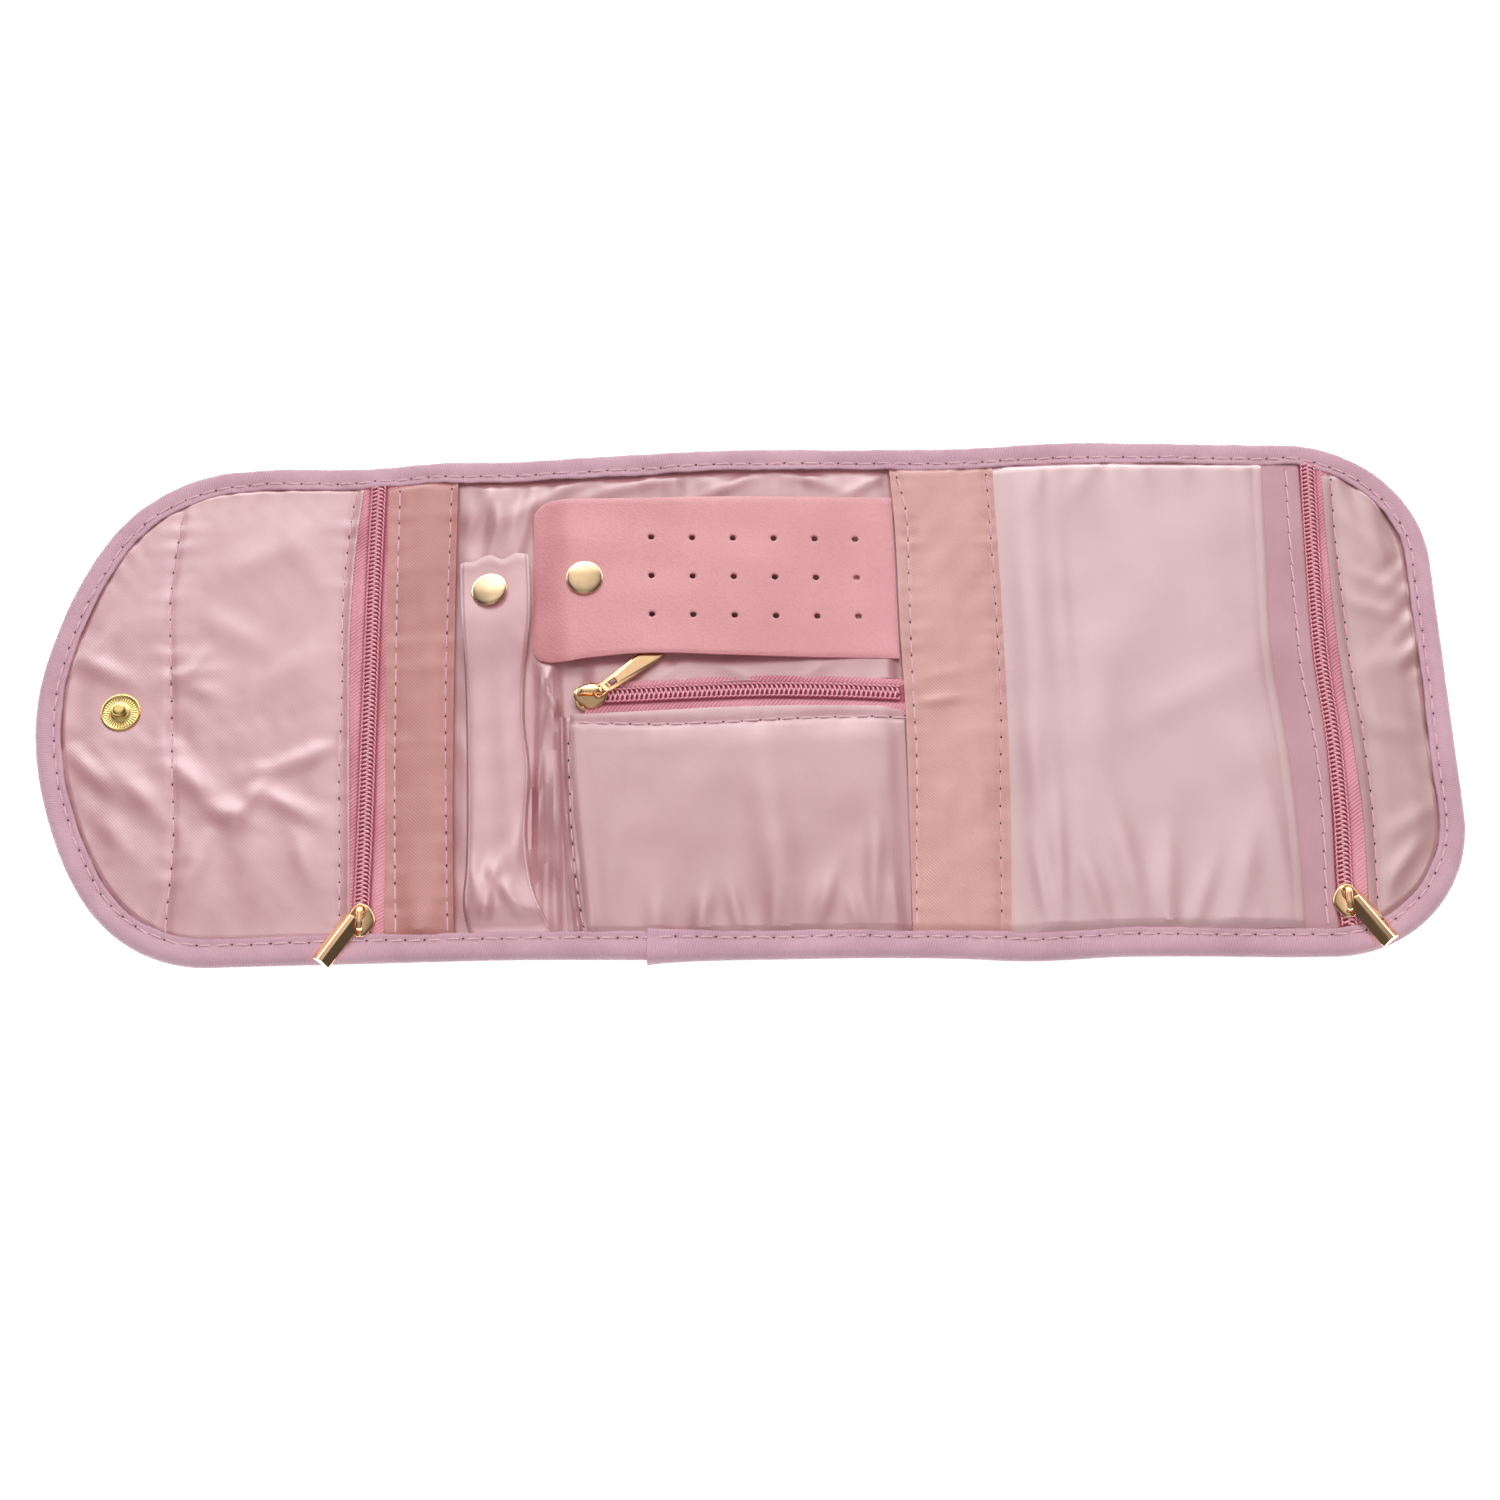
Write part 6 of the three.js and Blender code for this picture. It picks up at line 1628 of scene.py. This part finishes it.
def camera():
    """The camera looks along forward, with its right and up axes rolled a little about it."""
    high, yaw, roll = (np.radians(a) for a in (CAMERA_ELEVATION, CAMERA_YAW, CAMERA_ROLL))
    forward = np.array([np.sin(yaw) * np.cos(high), np.cos(yaw) * np.cos(high), -np.sin(high)])
    right = np.array([np.cos(yaw), -np.sin(yaw), 0])
    up = np.cross(right, forward)
    across = np.cos(roll) * right + np.sin(roll) * up
    upward = -np.sin(roll) * right + np.cos(roll) * up
    place = np.array(CAMERA_TARGET) - forward * CAMERA_DISTANCE
    data = bpy.data.cameras.new("camera")
    data.sensor_width = SENSOR_WIDTH
    data.lens = FOCAL_PIXELS / PHOTO_PIXELS * SENSOR_WIDTH
    data.clip_start, data.clip_end = 0.01, 20
    eye = bpy.data.objects.new("camera", data)
    axes = Matrix(np.stack([across, upward, -forward], 1).tolist())
    eye.matrix_world = Matrix.Translation(Vector((place * MM).tolist())) @ axes.to_4x4()
    bpy.context.scene.collection.objects.link(eye)
    bpy.context.scene.camera = eye


def lamp(name, place, size, power):
    """A soft rectangular lamp at a place in metres, aimed at the pouch. Polished metal doesn't mirror it."""
    data = bpy.data.lights.new(name, "AREA")
    data.shape, data.size, data.size_y = "RECTANGLE", size[0], size[1]
    data.energy = power
    light = bpy.data.objects.new(name, data)
    light.location = place
    light.rotation_euler = (-Vector(place)).to_track_quat("-Z", "Y").to_euler()
    light.visible_glossy = False
    bpy.context.scene.collection.objects.link(light)


def white_floor():
    """A white floor that keeps a faint shadow: grey under the lamps, with a glow that only shows to the
    camera, in gloss and through glass, and is stronger in gloss."""
    reach, level = 6.0, -0.0002
    mesh = bpy.data.meshes.new("floor")
    corners = [(-reach, -reach, level), (reach, -reach, level), (reach, reach, level), (-reach, reach, level)]
    mesh.from_pydata(corners, [], [(0, 1, 2, 3)])
    floor = bpy.data.objects.new("floor", mesh)
    bpy.context.scene.collection.objects.link(floor)
    n = Nodes(bpy.data.materials.new("floor_white"))
    links = n.tree.links
    n.tree.nodes.remove(n.shader)
    diffuse = n.add("ShaderNodeBsdfDiffuse", Color=(0.62, 0.62, 0.62, 1))
    glow = n.add("ShaderNodeEmission", Color=(1, 1, 1, 1))
    path = n.add("ShaderNodeLightPath").outputs
    mirrored = n.math("MAXIMUM", path["Is Glossy Ray"], path["Is Transmission Ray"])
    seen = n.math("MAXIMUM", path["Is Camera Ray"], mirrored)
    extra = n.math("MULTIPLY", path["Is Glossy Ray"], 2.6)
    links.new(n.math("ADD", n.math("MULTIPLY", seen, 0.8), extra), glow.inputs["Strength"])
    both = n.add("ShaderNodeAddShader")
    links.new(diffuse.outputs[0], both.inputs[0])
    links.new(glow.outputs[0], both.inputs[1])
    links.new(both.outputs[0], n.tree.nodes["Material Output"].inputs[0])
    mesh.materials.append(n.owner)


def pale_world():
    """The world: white to the camera and through glass, 0.22 as plain light, and for gloss brighter or
    darker by direction, of which x, y and z are the parts to the right, the back and up."""
    world = bpy.data.worlds.new("studio")
    bpy.context.scene.world = world
    w = Nodes(world)
    path = w.add("ShaderNodeLightPath").outputs
    direction = w.add("ShaderNodeTexCoord").outputs["Generated"]
    x, y, z = w.add("ShaderNodeSeparateXYZ", Vector=direction).outputs
    front = w.span(y, 0.0, 0.33, 0.4, 0.9)
    back = w.span(y, 0.5, 0.67, 0.0, 1.6)
    horizon = w.math("MULTIPLY", w.span(z, 0.15, 0.4, 3.2, 0.0), w.span(y, 0.2, 0.4))
    right = w.span(x, 0.03, 0.6, 1.1, 0.25)
    left = w.span(x, -0.25, -0.65, 1.0, 0.25)
    glossy = w.math("MULTIPLY", w.math("ADD", front, back), w.math("MULTIPLY", left, right))
    glossy = w.math("MULTIPLY", path["Is Glossy Ray"], w.math("ADD", glossy, horizon))
    plain = w.math("MULTIPLY", w.math("SUBTRACT", 1.0, path["Is Glossy Ray"]), 0.22)
    clear = w.math("MAXIMUM", path["Is Camera Ray"], path["Is Transmission Ray"])
    level = w.math("MULTIPLY", w.math("SUBTRACT", 1.0, clear), w.math("ADD", glossy, plain))
    background = w.tree.nodes["Background"]
    w.tree.links.new(w.math("ADD", clear, level), background.inputs["Strength"])
    background.inputs["Color"].default_value = (1, 1, 1, 1)


camera()
white_floor()
pale_world()
lamp("key_softbox", (0.35, 0.75, 1.8), (1.4, 1.0), 21)
lamp("front_softbox", (-0.2, -0.7, 1.3), (0.8, 0.5), 7)
bpy.context.scene.view_settings.view_transform = "Standard"
